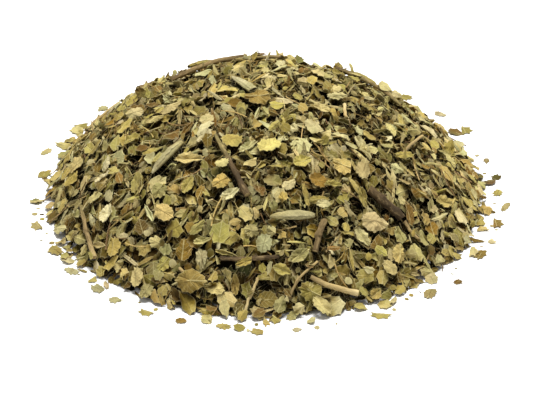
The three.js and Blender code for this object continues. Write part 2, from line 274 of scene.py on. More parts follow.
def makeLeafMaterial():
    material, start = newMaterial("driedLeaf")
    tint = start.node("Attribute", {"attribute_name": "tint"}, (), "Color")
    edge = start.node("Attribute", {"attribute_name": "edge"}, (), "Fac")
    place = start.node("TexCoord", (), (), "Object")
    flat = start.node("UVMap", {"uv_map": "leafMap"})
    along = start.node("SeparateXYZ", (), {0: flat}, "X") * 10 - 5
    across = start.node("SeparateXYZ", (), {0: flat}, "Y") * 10 - 5
    offMidrib = start.math("ABSOLUTE", across)
    wander = noise(start, flat, 9.0) - 0.5
    midrib = (offMidrib + wander * 0.12).between(0.05, 0.16, 1.0, 0.0)
    phase = along - offMidrib * leafLook["veinLean"] + wander * 0.5
    wave = start.math("PINGPONG", phase, leafLook["veinGap"] / 2)
    sideVein = wave.between(0.02, 0.12, 1.0, 0.0)
    net = {"Vector": flat, "Scale": leafLook["net"]}
    cells = start.node("TexVoronoi", {"feature": "DISTANCE_TO_EDGE"}, net)
    net = cells.between(0.0, 0.13, 1.0, 0.0)

    blotch = noise(start, place, leafLook["blotches"], 4.0, 0.6)
    speck = noise(start, place, leafLook["specks"], 3.0, 0.65)
    colour = multiplied(tint, blotch.between(0.25, 0.75, 0.76, 1.18))
    colour = multiplied(colour, speck.between(0.2, 0.8, 0.86, 1.12))
    fresh = noise(start, place, leafLook["freshPatches"], 2.0, 0.5).between(0.5, 0.72) * 0.3
    colour = colour.blend(fresh, leafLook["green"])
    old = noise(start, place, leafLook["oldPatches"], 2.0, 0.5, 0.6).between(0.56, 0.7) * 0.4
    colour = colour.blend(old, leafLook["brown"])
    veins = start.math("MAXIMUM", midrib * 0.45, sideVein * 0.24)
    dark = noise(start, place, leafLook["darkVeinPatches"], 1.0).between(0.5, 0.56)
    colour = colour.blend(veins * (1 - dark), leafLook["vein"])
    colour = colour.blend(start.math("MAXIMUM", veins * dark, net * 0.12), leafLook["darkVein"])
    # Pale margins along the edges, partly a painted highlight.
    colour = colour.blend(edge.between(0.84, 1.0) * 0.16, leafLook["paleEdge"])

    roughness = 0.78 + blotch * 0.18
    creases = start.math("ABSOLUTE", noise(start, place, leafLook["creases"], 2.0) - 0.5) * 2.2
    height = creases + noise(start, place, leafLook["dents"], 2.0)
    height += noise(start, place, leafLook["grain"], 4.0, 0.6) * 0.5
    height += midrib * 0.5 + sideVein * 0.3 + net * 0.12
    return connect(material, colour, roughness, height, leafLook["bump"], 0.04)


stalkLooks = {
    "twigBark": {"contrast": 0.42, "scuffs": 0.3, "roughness": 0.75, "depth": 0.0002},
    "driedStraw": {"contrast": 0.2, "scuffs": 0.12, "roughness": 0.6, "depth": 0.00012},
}


# Bark and stalk skin: streaks run along the stalk, in its own measure before it was bent.
def makeStalkMaterial(name, contrast, scuffs, roughness, depth):
    material, start = newMaterial(name)
    tint = start.node("Attribute", {"attribute_name": "tint"}, (), "Color")
    grain = start.node("Attribute", {"attribute_name": "grain"}, (), "Vector")
    streak = noise(start, grain, 2.2, 5.0, 0.65, 1.2)
    fine = noise(start, grain, 9.0, 3.0, 0.6)
    colour = multiplied(tint, streak.between(0.28, 0.72, 1 - contrast, 1 + contrast * 0.6))
    colour = multiplied(colour, fine.between(0.2, 0.8, 0.84, 1.14))
    scuffed = noise(start, grain, 1.1, 3.0, 0.6).between(0.54, 0.68) * scuffs
    colour = colour.blend(scuffed, paint(186, 160, 112))
    return connect(material, colour, roughness + streak * 0.1, streak + fine * 0.5, (0.7, depth), 0.15)


# The heap's inside: dark debris, its colours darkened further as a painted shade of the unlit depths.
def makeCoreMaterial():
    material, start = newMaterial("heapInside")
    place = start.node("TexCoord", (), (), "Object")
    patch = start.node("TexVoronoi", {"feature": "F1"}, {"Vector": place, "Scale": 260.0}, "Distance")
    fine = noise(start, place, 1200.0)
    colour = start.node(
        "ValToRGB",
        {"stops": [(0.0, paint(62, 51, 22)), (0.5, paint(38, 30, 12)), (1.0, paint(18, 14, 5))]},
        {"Fac": patch.between(0.0, 0.9)},
    )
    return connect(material, colour, 0.9, patch + fine * 0.4, (0.8, 0.0006), 0.02)


heap = {  # as in the part's source, in mm
    "radius": 56,
    "height": 27.4,
    "shoulder": 3,
    "shoulderShift": 0.3,
    "toe": 1.15,
    "layer": 6.0,  # depth of separate leaf pieces over the inside
    "highest": 29.3,
}


def heapHeight(x, y):
    share = np.minimum(np.hypot(x, y) / heap["radius"], 1.0)
    shoulder = heap["shoulder"] - heap["shoulderShift"] * np.cos(np.arctan2(y, x))
    return heap["height"] * (1 - share**shoulder) ** heap["toe"]


def outwardAt(x, y):
    step = 0.5
    across = (heapHeight(x + step, y) - heapHeight(x - step, y)) / (2 * step)
    ahead = (heapHeight(x, y + step) - heapHeight(x, y - step)) / (2 * step)
    return Vector((-across, -ahead, 1)).normalized()


# The ground and what lies on it so far, and how high pieces may reach, as heights over a square grid.
field = {
    "cell": 0.4,  # mm
    "reach": 66.0,
    "bumps": 0.5,
    "waves": 14,
    "waveLengths": (14, 40),
    "fade": 4,  # mm of height at the rim, over which the bumps set in
}
axis = np.arange(-field["reach"], field["reach"] + field["cell"] / 2, field["cell"])
gridX, gridY = np.meshgrid(axis, axis, indexing="ij")


def unevenness():
    rise = np.zeros_like(gridX)
    for _ in range(field["waves"]):
        bearing, phase = draw.uniform(0, 2 * math.pi, 2)
        length = draw.uniform(*field["waveLengths"])
        along = gridX * math.cos(bearing) + gridY * math.sin(bearing)
        rise += np.sin(along * 2 * math.pi / length + phase)
    return rise * field["bumps"] / math.sqrt(field["waves"])


hollows = {"count": 230, "reach": 51, "long": (0.8, 1.9), "narrow": (0.5, 0.95), "depth": (1.2, 3.2)}  # mm


# Places where few pieces lie, which look dark from outside.
def digHollows():
    for _ in range(hollows["count"]):
        bearing, away = draw.uniform(0, 2 * math.pi), hollows["reach"] * math.sqrt(draw.uniform())
        x, y = away * math.cos(bearing), away * math.sin(bearing)
        long, narrow = draw.uniform(*hollows["long"]), draw.uniform(*hollows["narrow"])
        turn = draw.uniform(0, math.pi)
        along = (gridX - x) * math.cos(turn) + (gridY - y) * math.sin(turn)
        across = (gridY - y) * math.cos(turn) - (gridX - x) * math.sin(turn)
        ceiling[np.hypot(along / long, across / narrow) < 1] -= draw.uniform(*hollows["depth"])


ceiling = heapHeight(gridX, gridY)
ceiling = np.where(ceiling > 0, ceiling + unevenness() * np.minimum(ceiling / field["fade"], 1), 0)
digHollows()
level = np.maximum(heapHeight(gridX, gridY) - heap["layer"], 0)


def deselectAll():
    if bpy.context.object and bpy.context.object.mode != "OBJECT":
        bpy.ops.object.mode_set(mode="OBJECT")
    bpy.ops.object.select_all(action="DESELECT")


def selectOnly(thing):
    deselectAll()
    thing.select_set(True)
    bpy.context.view_layer.objects.active = thing


# Selects the points that pass the test, given in mm, and stays in edit mode.
def select(thing, test):
    bpy.ops.object.mode_set(mode="OBJECT")
    mesh = thing.data
    for part in (mesh.polygons, mesh.edges):
        part.foreach_set("select", np.zeros(len(part), dtype=bool))
    for vertex in mesh.vertices:
        vertex.select = bool(test(vertex.co / mm))
    bpy.ops.object.mode_set(mode="EDIT")


def editAll():
    bpy.ops.object.mode_set(mode="EDIT")
    bpy.ops.mesh.select_all(action="SELECT")


# Selects single faces of a piece and stays in edit mode.
def editFaces(piece, isChosen):
    selectOnly(piece)
    bpy.ops.object.mode_set(mode="EDIT")
    bpy.ops.mesh.select_mode(type="FACE")
    bpy.ops.mesh.select_all(action="DESELECT")
    bpy.ops.object.mode_set(mode="OBJECT")
    for face in piece.data.polygons:
        face.select = isChosen(face)
    bpy.ops.object.mode_set(mode="EDIT")


def leaveFaces():
    bpy.ops.mesh.select_mode(type="VERT")
    bpy.ops.object.mode_set(mode="OBJECT")


def applyModifier(kind, **settings):
    bpy.ops.object.modifier_add(type=kind)
    modifier = bpy.context.object.modifiers[-1]
    for name, value in settings.items():
        setattr(modifier, name, value)
    bpy.ops.object.modifier_apply(modifier=modifier.name)


def deform(method, degrees, along):
    applyModifier("SIMPLE_DEFORM", deform_method=method, angle=math.radians(degrees), deform_axis=along)


def coordinates(mesh):
    places = np.empty(len(mesh.vertices) * 3)
    mesh.vertices.foreach_get("co", places)
    return places.reshape(-1, 3) / mm


# Bends a flat piece out of its plane: along its length, or round its length as a roll.
def bend(piece, degrees, lengthways=True):
    turns = [(math.pi / 2, 0, 0)] if lengthways else [(0, 0, math.pi / 2), (math.pi / 2, 0, 0)]
    selectOnly(piece)
    for turn in turns:
        piece.rotation_euler = turn
        bpy.ops.object.transform_apply(rotation=True)
    deform("BEND", degrees, "Z")
    for turn in reversed(turns):
        piece.rotation_euler = [-part for part in turn]
        bpy.ops.object.transform_apply(rotation=True)


def faceOutwards(piece):
    selectOnly(piece)
    editAll()
    bpy.ops.mesh.normals_make_consistent(inside=False)
    bpy.ops.object.mode_set(mode="OBJECT")


def smooth(piece, angle):
    selectOnly(piece)
    bpy.ops.object.shade_smooth_by_angle(angle=math.radians(angle))


attributeKeys = {"FLOAT": "value", "FLOAT_COLOR": "color", "FLOAT_VECTOR": "vector"}


def setAttribute(mesh, name, kind, values):
    made = mesh.attributes.new(name, kind, "POINT")
    made.data.foreach_set(attributeKeys[kind], np.asarray(values).ravel())


# Colours along a piece, blended from one to the next.
def tintAlong(share, colours):
    stops = np.linspace(0, 1, len(colours))
    palette = np.array([paint(*colour) for colour in colours])
    return np.column_stack([np.interp(share, stops, palette[:, channel]) for channel in range(4)])


def slotOf(name):
    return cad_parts[name].data.materials[0].name


def finishPiece(piece, replaced=()):
    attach(piece, "root")
    if replaced:
        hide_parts(*replaced)


flake = {
    "length": 5.6,  # mm, the usual piece
    "width": 0.8,  # share of the length, the usual piece
    "teeth": 7,  # round its edge
    "notch": 0.85,  # how far out the edge lies between two teeth
    "toothed": 11,  # points that the edge of a toothed piece has at least
    "pointFrom": (0.3, 0.75),  # shares of the way to the tip where it narrows
    "pointStretch": 1.04,
    "cutLean": 0.25,  # sideways for each mm across
    "sliceLean": 0.15,
    "thickness": 0.18,
    "rough": 0.18,  # mm, of the outline
    "crease": 0.22,  # mm, out of the flat
    "crumple": 1.5,  # mm, the same for the large pieces
    "sharp": 0.05,  # mm off the midrib, from where the sides are folded
}

# Width as a share of the length, how far from its middle it was cut across or sliced along, and its fold,
# bend and twist in degrees.
flakeKinds = [
    {"width": 0.78, "fold": 10, "bend": 16, "twist": 8, "point": 0.8},
    {"width": 0.86, "fold": -8, "bend": -14, "twist": -10},
    {"width": 0.7, "fold": 14, "bend": 10, "twist": 16, "point": 0.7},
    {"width": 0.92, "fold": 5, "bend": 26, "twist": 0},
    {"width": 0.62, "fold": -12, "bend": 14, "twist": -14, "point": 0.66},
    {"cut": 0.22, "fold": 8, "bend": -18, "twist": 8},
    {"width": 0.9, "cut": 0.08, "fold": -10, "bend": 14, "twist": 12},
    {"width": 0.74, "cut": 0.3, "fold": 16, "bend": 8, "twist": -8, "point": 0.8},
    {"width": 0.84, "cut": 0.14, "fold": 5, "bend": -30, "twist": 5},
    {"width": 0.56, "fold": 20, "bend": 18, "twist": 12, "point": 0.62},
    {"width": 0.44, "fold": 26, "bend": 16, "twist": -18, "point": 0.7},
    {"width": 0.5, "cut": 0.3, "fold": -24, "bend": -14, "twist": 22},
    {"fold": 3, "bend": 6, "twist": 4},
    {"width": 0.74, "fold": -4, "bend": -8, "twist": 6, "point": 0.72},
    {"width": 0.86, "fold": 10, "bend": -12, "twist": -12, "crease": 0.42},
    {"fold": -14, "bend": 30, "twist": 20, "crease": 0.5},
    {"width": 0.7, "cut": 0.1, "fold": 30, "bend": 60, "twist": -20, "crease": 0.4},
    {"width": 0.34, "fold": 46, "bend": 16, "twist": 18, "point": 0.7},
    {"width": 0.9, "slice": 0.04, "fold": 6, "bend": 14, "twist": -10},
    {"width": 0.84, "slice": -0.06, "cut": 0.2, "fold": 4, "bend": -20, "twist": 14},
    {"width": 0.94, "slice": 0.1, "cut": -0.16, "fold": -6, "bend": 22, "twist": 10, "crease": 0.34},
    {"width": 0.7, "slice": 0.08, "fold": 10, "bend": 34, "twist": -18, "point": 0.7},
    {"width": 0.9, "fold": 62, "bend": 12, "twist": 10},
    {"cut": 0.2, "fold": -54, "bend": 20, "twist": -14},
    {"width": 0.7, "fold": 40, "bend": -50, "twist": 24, "rough": 0.3, "crease": 0.5},
    {"width": 0.66, "cut": -0.1, "fold": 24, "bend": 44, "twist": 30, "rough": 0.34, "crease": 0.5},
]
sliverKinds = [  # torn strips, as leaves look from their edge
    {"width": 0.2, "points": 10, "fold": 8, "bend": 14, "twist": 12},
    {"width": 0.13, "points": 8, "fold": 4, "bend": -26, "twist": -16},
    {"width": 0.26, "points": 10, "fold": 30, "bend": 30, "twist": 22},
    {"width": 0.16, "points": 8, "fold": -20, "bend": 40, "twist": -30},
]
crumbKinds = [
    {"points": 6, "fold": 12, "bend": 20, "twist": 10},
    {"width": 0.6, "points": 6, "fold": -16, "bend": -30, "twist": 16},
    {"width": 0.95, "points": 7, "fold": 6, "bend": 40, "twist": -14},
    {"width": 0.45, "points": 6, "fold": 24, "bend": 24, "twist": 24},
]
showKinds = [  # for the leaf pieces that can be told apart in the picture
    {"points": 36, "notch": 0.9, "fold": 14, "bend": 14, "twist": 8, "crumple": 1.2, "point": 0.84},
    {"points": 33, "notch": 0.88, "fold": -12, "bend": -20, "twist": -10, "crumple": 1.5},
    {"points": 39, "notch": 0.9, "fold": 18, "bend": 12, "twist": 10, "crumple": 1.35, "point": 0.7},
    {"points": 33, "notch": 0.86, "fold": 8, "bend": -24, "twist": 14, "crumple": 1.1, "cut": 0.34},
    {"points": 36, "notch": 0.88, "fold": -16, "bend": 16, "twist": -12, "crumple": 1.7, "rough": 0.26},
]
looseKinds = [  # for the ground round the heap
    {"points": 30, "notch": 0.78, "rough": 0.34, "fold": 6, "bend": 12, "twist": 8},
    {"points": 24, "notch": 0.74, "rough": 0.4, "fold": -6, "bend": -14, "twist": -8, "width": 0.7,
     "cut": 0.3},
    {"points": 27, "notch": 0.8, "rough": 0.3, "fold": 10, "bend": 16, "twist": 10, "width": 0.6,
     "point": 0.66},
    {"points": 21, "notch": 0.7, "rough": 0.4, "fold": 8, "bend": -20, "twist": 6, "slice": 0.12},
    {"points": 30, "notch": 0.8, "rough": 0.36, "fold": 4, "bend": 18, "twist": -12, "width": 0.7,
     "cut": -0.26},
]


# One leaf piece, lying flat round the origin with its midrib along X. Every third point is a tooth.
def modelFlake(kind, seed):
    points = kind.get("points", 3 * flake["teeth"])
    half = flake["length"] / 2
    deselectAll()
    bpy.ops.mesh.primitive_circle_add(
        vertices=points, radius=half * mm, fill_type="TRIFAN", rotation=(0, 0, -math.pi / 2)
    )
    bpy.ops.object.transform_apply(rotation=True)
    leaf = bpy.context.object
    isRim = lambda place: place.length > half / 4
    if points % 3 == 0 and points >= flake["toothed"]:
        pointAt = lambda place: round(math.atan2(place.y, place.x) * points / 2 / math.pi)
        select(leaf, lambda place: isRim(place) and pointAt(place) % 3)
        bpy.ops.transform.resize(value=(kind.get("notch", flake["notch"]),) * 3, center_override=(0, 0, 0))
    select(leaf, isRim)
    rough = kind.get("rough", flake["rough"] * (2 if points < flake["toothed"] else 1))
    bpy.ops.transform.vertex_random(offset=rough * mm, seed=seed)
    bpy.ops.transform.resize(value=(1, kind.get("width", flake["width"]), 0), center_override=(0, 0, 0))
    if "point" in kind:
        for share in flake["pointFrom"]:
            select(leaf, lambda place: place.x > half * share)
            narrower = (flake["pointStretch"], kind["point"], 1)
            bpy.ops.transform.resize(value=narrower, center_override=(0, 0, 0))
    for cut, lengthways in (("cut", False), ("slice", True)):
        if cut in kind:
            away = kind[cut] * flake["length"] * mm
            select(leaf, lambda place: True)
            bpy.ops.mesh.bisect(
                plane_co=(0, away, 0) if lengthways else (away, 0, 0),
                plane_no=(flake["sliceLean"], 1, 0) if lengthways else (1, flake["cutLean"], 0),
                clear_outer=away > 0,
                clear_inner=away < 0,
            )
    if "crumple" in kind:
        addRing(leaf)
    bpy.ops.object.mode_set(mode="OBJECT")
    addLeafMap(leaf.data)

    if "crumple" in kind:
        crumple(leaf, kind["crumple"])
    else:
        select(leaf, isRim)
        bpy.ops.transform.vertex_random(offset=kind.get("crease", flake["crease"]) * mm, seed=seed + 100)
    for side in (1, -1):
        select(leaf, lambda place: place.y * side > flake["sharp"])
        bpy.ops.transform.rotate(
            value=side * math.radians(kind["fold"]), orient_axis="X", center_override=(0, 0, 0)
        )
    bpy.ops.object.mode_set(mode="OBJECT")
    bend(leaf, kind["bend"])
    deform("TWIST", kind["twist"], "X")
    return leaf


# Points half way to the edge, so that a large piece can be creased across its middle.
def addRing(leaf):
    select(leaf, lambda place: True)
    bpy.ops.object.mode_set(mode="OBJECT")
    uses = Counter(key for face in leaf.data.polygons for key in face.edge_keys)
    for edge in leaf.data.edges:
        edge.select = uses[edge.key] > 1
    bpy.ops.object.mode_set(mode="EDIT")
    bpy.ops.mesh.select_mode(type="EDGE")
    bpy.ops.mesh.subdivide(number_cuts=1)
    bpy.ops.mesh.select_all(action="SELECT")
    bpy.ops.mesh.quads_convert_to_tris()
    bpy.ops.mesh.select_mode(type="VERT")


# Rises and dips over the whole piece, some mm apart.
def crumple(leaf, apart):
    selectOnly(leaf)
    clouds = bpy.data.textures.new("crumple", "CLOUDS")
    clouds.noise_scale = apart * mm
    applyModifier("DISPLACE", texture=clouds, strength=flake["crumple"] * mm, mid_level=0.5, direction="Z")


# Flat places of the piece before it is bent, in cm, for its veins.
def addLeafMap(mesh):
    places = coordinates(mesh)
    corners = np.empty(len(mesh.loops), dtype=int)
    mesh.loops.foreach_get("vertex_index", corners)
    layer = mesh.uv_layers.new(name="leafMap")
    layer.data.foreach_set("uv", (places[corners, :2] / 10 + 0.5).ravel())
    while len(mesh.uv_layers) > 1:
        mesh.uv_layers.remove(next(spare for spare in mesh.uv_layers if spare.name != "leafMap"))


fibre = {
    "length": 5.5,  # mm
    "radius": 0.15,
    "sides": 5,
    "rings": 4,
    "taper": 0.9,  # from ring to ring
    "wobble": 0.05,
    "bends": (14, -30, 55),  # degrees
}


# A bit of fine stalk or vein, along X.
def modelFibre(bend, seed):
    deselectAll()
    bpy.ops.mesh.primitive_circle_add(
        vertices=fibre["sides"], radius=fibre["radius"] * mm, fill_type="NGON", rotation=(0, math.pi / 2, 0)
    )
    bpy.ops.object.transform_apply(rotation=True)
    stalk = bpy.context.object
    editAll()
    bpy.ops.transform.translate(value=(-fibre["length"] / 2 * mm, 0, 0))
    for _ in range(fibre["rings"]):
        step = fibre["length"] / fibre["rings"] * mm
        bpy.ops.mesh.extrude_region_move(TRANSFORM_OT_translate={"value": (step, 0, 0)})
        bpy.ops.transform.resize(value=(1, fibre["taper"], fibre["taper"]), center_override=(0, 0, 0))
    bpy.ops.mesh.select_all(action="SELECT")
    bpy.ops.transform.vertex_random(offset=fibre["wobble"] * mm, seed=seed)
    bpy.ops.object.mode_set(mode="OBJECT")
    addLeafMap(stalk.data)
    deform("BEND", bend, "Z")
    faceOutwards(stalk)
    return stalk


outline = {"bins": 60, "samples": 9, "known": 0.02, "least": 0.26}  # the last two in mm


# How far out a piece reaches all round, and how high its edge is there.
def outlineOf(mesh):
    places = coordinates(mesh)
    ends = np.array([tuple(edge.vertices) for edge in mesh.edges])
    samples = np.linspace(0, 1, outline["samples"])
    spots = np.concatenate([places[ends[:, 0]] * (1 - t) + places[ends[:, 1]] * t for t in samples])
    bins = outline["bins"]
    away = np.hypot(spots[:, 0], spots[:, 1])
    which = ((np.arctan2(spots[:, 1], spots[:, 0]) / (2 * math.pi) + 0.5) * bins).astype(int) % bins
    order = np.argsort(away)
    reach, height = np.zeros(bins), np.zeros(bins)
    reach[which[order]] = away[order]
    height[which[order]] = spots[order, 2]
    turn = ((np.arange(bins) + 0.5) / bins - 0.5) * 2 * math.pi
    known = reach > outline["known"]
    wrap = lambda values: np.concatenate([values[known][-1:], values[known], values[known][:1]])
    turns = wrap(turn) + np.array([-2 * math.pi] + [0] * int(known.sum()) + [2 * math.pi])
    return turns, np.maximum(wrap(reach), outline["least"]), wrap(height)


# 1 for points on the open edge of a sheet, 0 for the others.
def rimOf(mesh):
    uses = Counter(key for face in mesh.polygons for key in face.edge_keys)
    rim = np.zeros(len(mesh.vertices))
    rim[[index for key, count in uses.items() if count == 1 for index in key]] = 1
    return rim


# What is needed to lay copies of a piece. A leaf gets its thickness here.
def patternOf(piece, thickness=None):
    mesh = piece.data
    if thickness:
        places = coordinates(mesh)
        middle = Vector(places[int(np.argmin(np.hypot(places[:, 0], places[:, 1])))])
        mesh.transform(Matrix.Translation(-middle * mm))
    turn, reach, height = outlineOf(mesh)
    inner = np.hypot(*coordinates(mesh)[:, :2].T)
    rim = rimOf(mesh)
    selectOnly(piece)
    if thickness:
        applyModifier("SOLIDIFY", thickness=thickness * mm, offset=0.0)
    points = coordinates(mesh)
    faces = [tuple(face.vertices) for face in mesh.polygons]
    corners = [index for face in faces for index in face]
    leafMap = np.empty(len(corners) * 2)
    mesh.uv_layers["leafMap"].data.foreach_get("uv", leafMap)
    normals = [face.normal.z for face in mesh.polygons]
    pattern = {
        "points": points,
        "faces": faces,
        "corners": np.array(corners),
        "leafMap": leafMap.reshape(-1, 2),
        "edge": np.tile(rim, 2) if thickness else np.zeros(len(points)),
        "turn": turn,
        "reach": reach,
        "height": height if thickness else height * 0,
        "half": thickness / 2 if thickness else fibre["radius"],
        "span": float(inner.max()),
    }
    pattern["bakeMap"] = bakeMapOf(pattern, normals)
    bpy.data.objects.remove(piece)
    return pattern


def patternsOf(kinds, seed):
    return [patternOf(modelFlake(kind, seed + k), flake["thickness"]) for k, kind in enumerate(kinds)]


# Where each corner lies in the piece's own cell of a baked picture: top left, underside right, edges below.
def bakeMapOf(pattern, normals):
    points = pattern["points"]
    low, high = points[:, :2].min(axis=0), points[:, :2].max(axis=0)
    places = []
    sides = [k for k, face in enumerate(pattern["faces"]) if len(face) == 4]
    for k, face in enumerate(pattern["faces"]):
        if k in sides:
            start = sides.index(k) / len(sides)
            wide = 0.94 / len(sides)
            square = ((0, 0), (1, 0), (1, 1), (0, 1))
            places += [(0.02 + start * 0.96 + x * wide, 0.02 + y * 0.12) for x, y in square]
        else:
            left = 0.02 if normals[k] > 0 else 0.52
            flat = (points[list(face), :2] - low) / (high - low)
            places += [(left + x * 0.46, 0.18 + y * 0.8) for x, y in flat]
    return np.array(places)


settling = {
    "spare": 1.02,  # how much wider than the piece it looks
    "support": 0.8,  # share of the piece's reach over which it takes the slope
    "steepest": 1.7,
    "gap": 0.03,  # mm
}


# Lays a pattern on what is there so far. It comes to rest on the highest point below it.
def settle(pattern, size, x, y, heading, lean=(0, 0), turned=False, allow=0.8, widen=1.0, steady=0.0):
    reach = pattern["span"] * size * max(widen, 1) * settling["spare"]
    first = [int((place - reach + field["reach"]) / field["cell"]) for place in (x, y)]
    last = [int((place + reach + field["reach"]) / field["cell"]) + 2 for place in (x, y)]
    window = (slice(first[0], last[0]), slice(first[1], last[1]))
    below = level[window]
    dx, dy = gridX[window] - x, gridY[window] - y
    near = dx * dx + dy * dy < (settling["support"] * reach) ** 2 + 0.2
    outward = outwardAt(x, y)
    slopeX = (dx * below)[near].sum() / max((dx * dx)[near].sum(), 0.01)
    slopeY = (dy * below)[near].sum() / max((dy * dy)[near].sum(), 0.01)
    slopeX += lean[0] - steady * (slopeX + outward.x / outward.z)
    slopeY += lean[1] - steady * (slopeY + outward.y / outward.z)
    steep = math.hypot(slopeX, slopeY)
    if steep > settling["steepest"]:
        slopeX, slopeY = (slope * settling["steepest"] / steep for slope in (slopeX, slopeY))
    upright = 1 / math.sqrt(1 + slopeX**2 + slopeY**2)
    normal = np.array([-slopeX, -slopeY, 1]) * upright
    lengthways = np.array([math.cos(heading), math.sin(heading), 0.0])
    lengthways[2] = slopeX * lengthways[0] + slopeY * lengthways[1]
    lengthways /= np.linalg.norm(lengthways)
    sideways = np.cross(normal, lengthways)
    lift = slopeX * dx + slopeY * dy
    along = dx * lengthways[0] + dy * lengthways[1] + lift * lengthways[2]
    across = (dx * sideways[0] + dy * sideways[1] + lift * sideways[2]) / widen
    if turned:
        normal, sideways, across = -normal, -sideways, -across
    away = np.hypot(along, across) / size
    turn = np.arctan2(across, along)
    edge = np.interp(turn, pattern["turn"], pattern["reach"])
    inside = away < edge
    if not inside.any():
        return None
    bow = np.interp(turn, pattern["turn"], pattern["height"]) * away / edge * size
    rise = lift + (-bow if turned else bow) / upright
    half = pattern["half"] * size / upright
    rest = (below - rise + half)[inside].max() + settling["gap"]
    top = rest + rise + half
    if (top - ceiling[window])[inside].max() > allow or top[inside].max() > heap["highest"]:
        return None
    below[inside] = np.maximum(below, top)[inside]
    return {
        "pattern": pattern,
        "axes": np.array([lengthways, sideways * widen, normal]) * size,
        "place": np.array([x, y, rest]),
    }


leafColours = {  # as on a screen
    "khaki": (189, 173, 115),
    "olive": (165, 148, 80),
    "sage": (184, 173, 124),
    "greyGreen": (157, 145, 92),
    "moss": (138, 121, 62),
    "yellow": (188, 168, 100),
    "cream": (198, 187, 142),
    "tan": (173, 150, 84),
    "brown": (128, 101, 46),
    "dark": (97, 78, 38),
}
leafShares = {
    "khaki": 0.24, "olive": 0.2, "sage": 0.16, "greyGreen": 0.14, "moss": 0.05,
    "yellow": 0.015, "cream": 0.015, "tan": 0.06, "brown": 0.08, "dark": 0.05,
}
innerColours = {"below": 1.0, "share": 0.45, "names": ["brown", "dark", "tan"]}  # mm down
fibreColours = {"straw": (196, 168, 104), "bark": (112, 88, 56), "dull": (150, 128, 80)}
vary = {"bright": (0.98, 1.09), "hue": 2.5, "range": (6, 250)}  # from piece to piece
# Painted shade in the leaf colours: darker with depth in the heap, in hollows and under other pieces, and
# redder there.
dimming = {
    "perMm": 0.1,  # how much darker a piece is with its depth in the heap
    "most": 0.5,
    "hollow": 0.8,  # how much darker, for each mm that a place lies lower than what is round it
    "under": 1.0,  # the same for each mm of cover over it, past the first
    "first": 0.5,  # mm
    "least": 0.009,
    "warmth": (1.0, 1.2, 2.2),  # red lasts longest in the painted shade between the leaves
    "blur": 5,  # cells
}


def drawTint(depth=0.0, colours=leafColours, name=None):
    if not name:
        names = list(colours)
        shares = [leafShares.get(each, 1.0) for each in names]
        name = names[draw.choice(len(names), p=np.array(shares) / sum(shares))]
        isInside = depth > innerColours["below"] and colours is leafColours
        if isInside and draw.random() < innerColours["share"]:
            name = pick(innerColours["names"])
    colour = np.array(colours[name], dtype=float) * draw.uniform(*vary["bright"])
    colour += draw.normal(0, vary["hue"], 3)
    # Painted shade: pieces deeper in the heap get a darker colour.
    shade = 1 - min(max(depth, 0) * dimming["perMm"], dimming["most"])
    return paint(*np.clip(colour * shade, *vary["range"]))


def blurred(heights, cells):
    for _ in range(2):
        padded = np.pad(heights, ((cells, cells), (0, 0)), mode="edge")
        running = np.cumsum(np.vstack([np.zeros((1, padded.shape[1])), padded]), axis=0)
        heights = ((running[2 * cells + 1 :] - running[: -2 * cells - 1]) / (2 * cells + 1)).T
    return heights


# How much light reaches points in the heap: less in hollows and under other pieces. It is painted into their
# colour as shade.
def daylight(points):
    cells = ((points[:, :2] + field["reach"]) / field["cell"]).round().astype(int)
    x, y = np.clip(cells, 0, len(axis) - 1).T
    hollow = np.clip(surround[x, y] - points[:, 2], 0, None)
    under = np.clip(level[x, y] - points[:, 2] - dimming["first"], 0, None)
    light = np.exp(-dimming["hollow"] * hollow - dimming["under"] * under)
    return np.clip(light, dimming["least"], 1)


# One mesh from many laid pieces.
def joinLaid(name, laid, material, replaced=()):
    vertices, faces, tints, edges, leafMaps, bakeMaps = [], [], [], [], [], []
    columns = math.ceil(math.sqrt(len(laid)))
    rows = math.ceil(len(laid) / columns)
    count = 0
    for k, piece in enumerate(laid):
        pattern = piece["pattern"]
        points = pattern["points"] @ piece["axes"] + piece["place"]
        points[:, 2] += max(0.02 - points[:, 2].min(), 0)  # none reaches below the ground
        vertices.append(points)
        faces += [tuple(index + count for index in face) for face in pattern["faces"]]
        # Painted shade: each point's colour is darkened by daylight(), or by the piece's own fixed light
        # value.
        shade = np.full(len(points), piece["light"]) if "light" in piece else daylight(points)
        colour = piece["tint"][:3] * shade[:, None] ** dimming["warmth"]
        tints.append(np.hstack([colour, np.ones((len(points), 1))]))
        edges.append(pattern["edge"])
        leafMaps.append(pattern["leafMap"])
        cell = np.array([k % columns, k // columns])
        bakeMaps.append((pattern["bakeMap"] + cell) / (columns, rows))
        count += len(points)
    mesh = bpy.data.meshes.new(name)
    mesh.from_pydata((np.concatenate(vertices) * mm).tolist(), [], faces)
    setAttribute(mesh, "tint", "FLOAT_COLOR", np.concatenate(tints))
    setAttribute(mesh, "edge", "FLOAT", np.concatenate(edges))
    if material != leafMaterial:
        setAttribute(mesh, "grain", "FLOAT_VECTOR", np.concatenate(vertices))
    mesh.uv_layers.new(name="leafMap").data.foreach_set("uv", np.concatenate(leafMaps).ravel())
    mesh.uv_layers.new(name="OFBake").data.foreach_set("uv", np.concatenate(bakeMaps).ravel())
    mesh.materials.append(material)
    piece = bpy.data.objects.new(name, mesh)
    bpy.context.collection.objects.link(piece)
    smooth(piece, 35)
    finishPiece(piece, replaced)


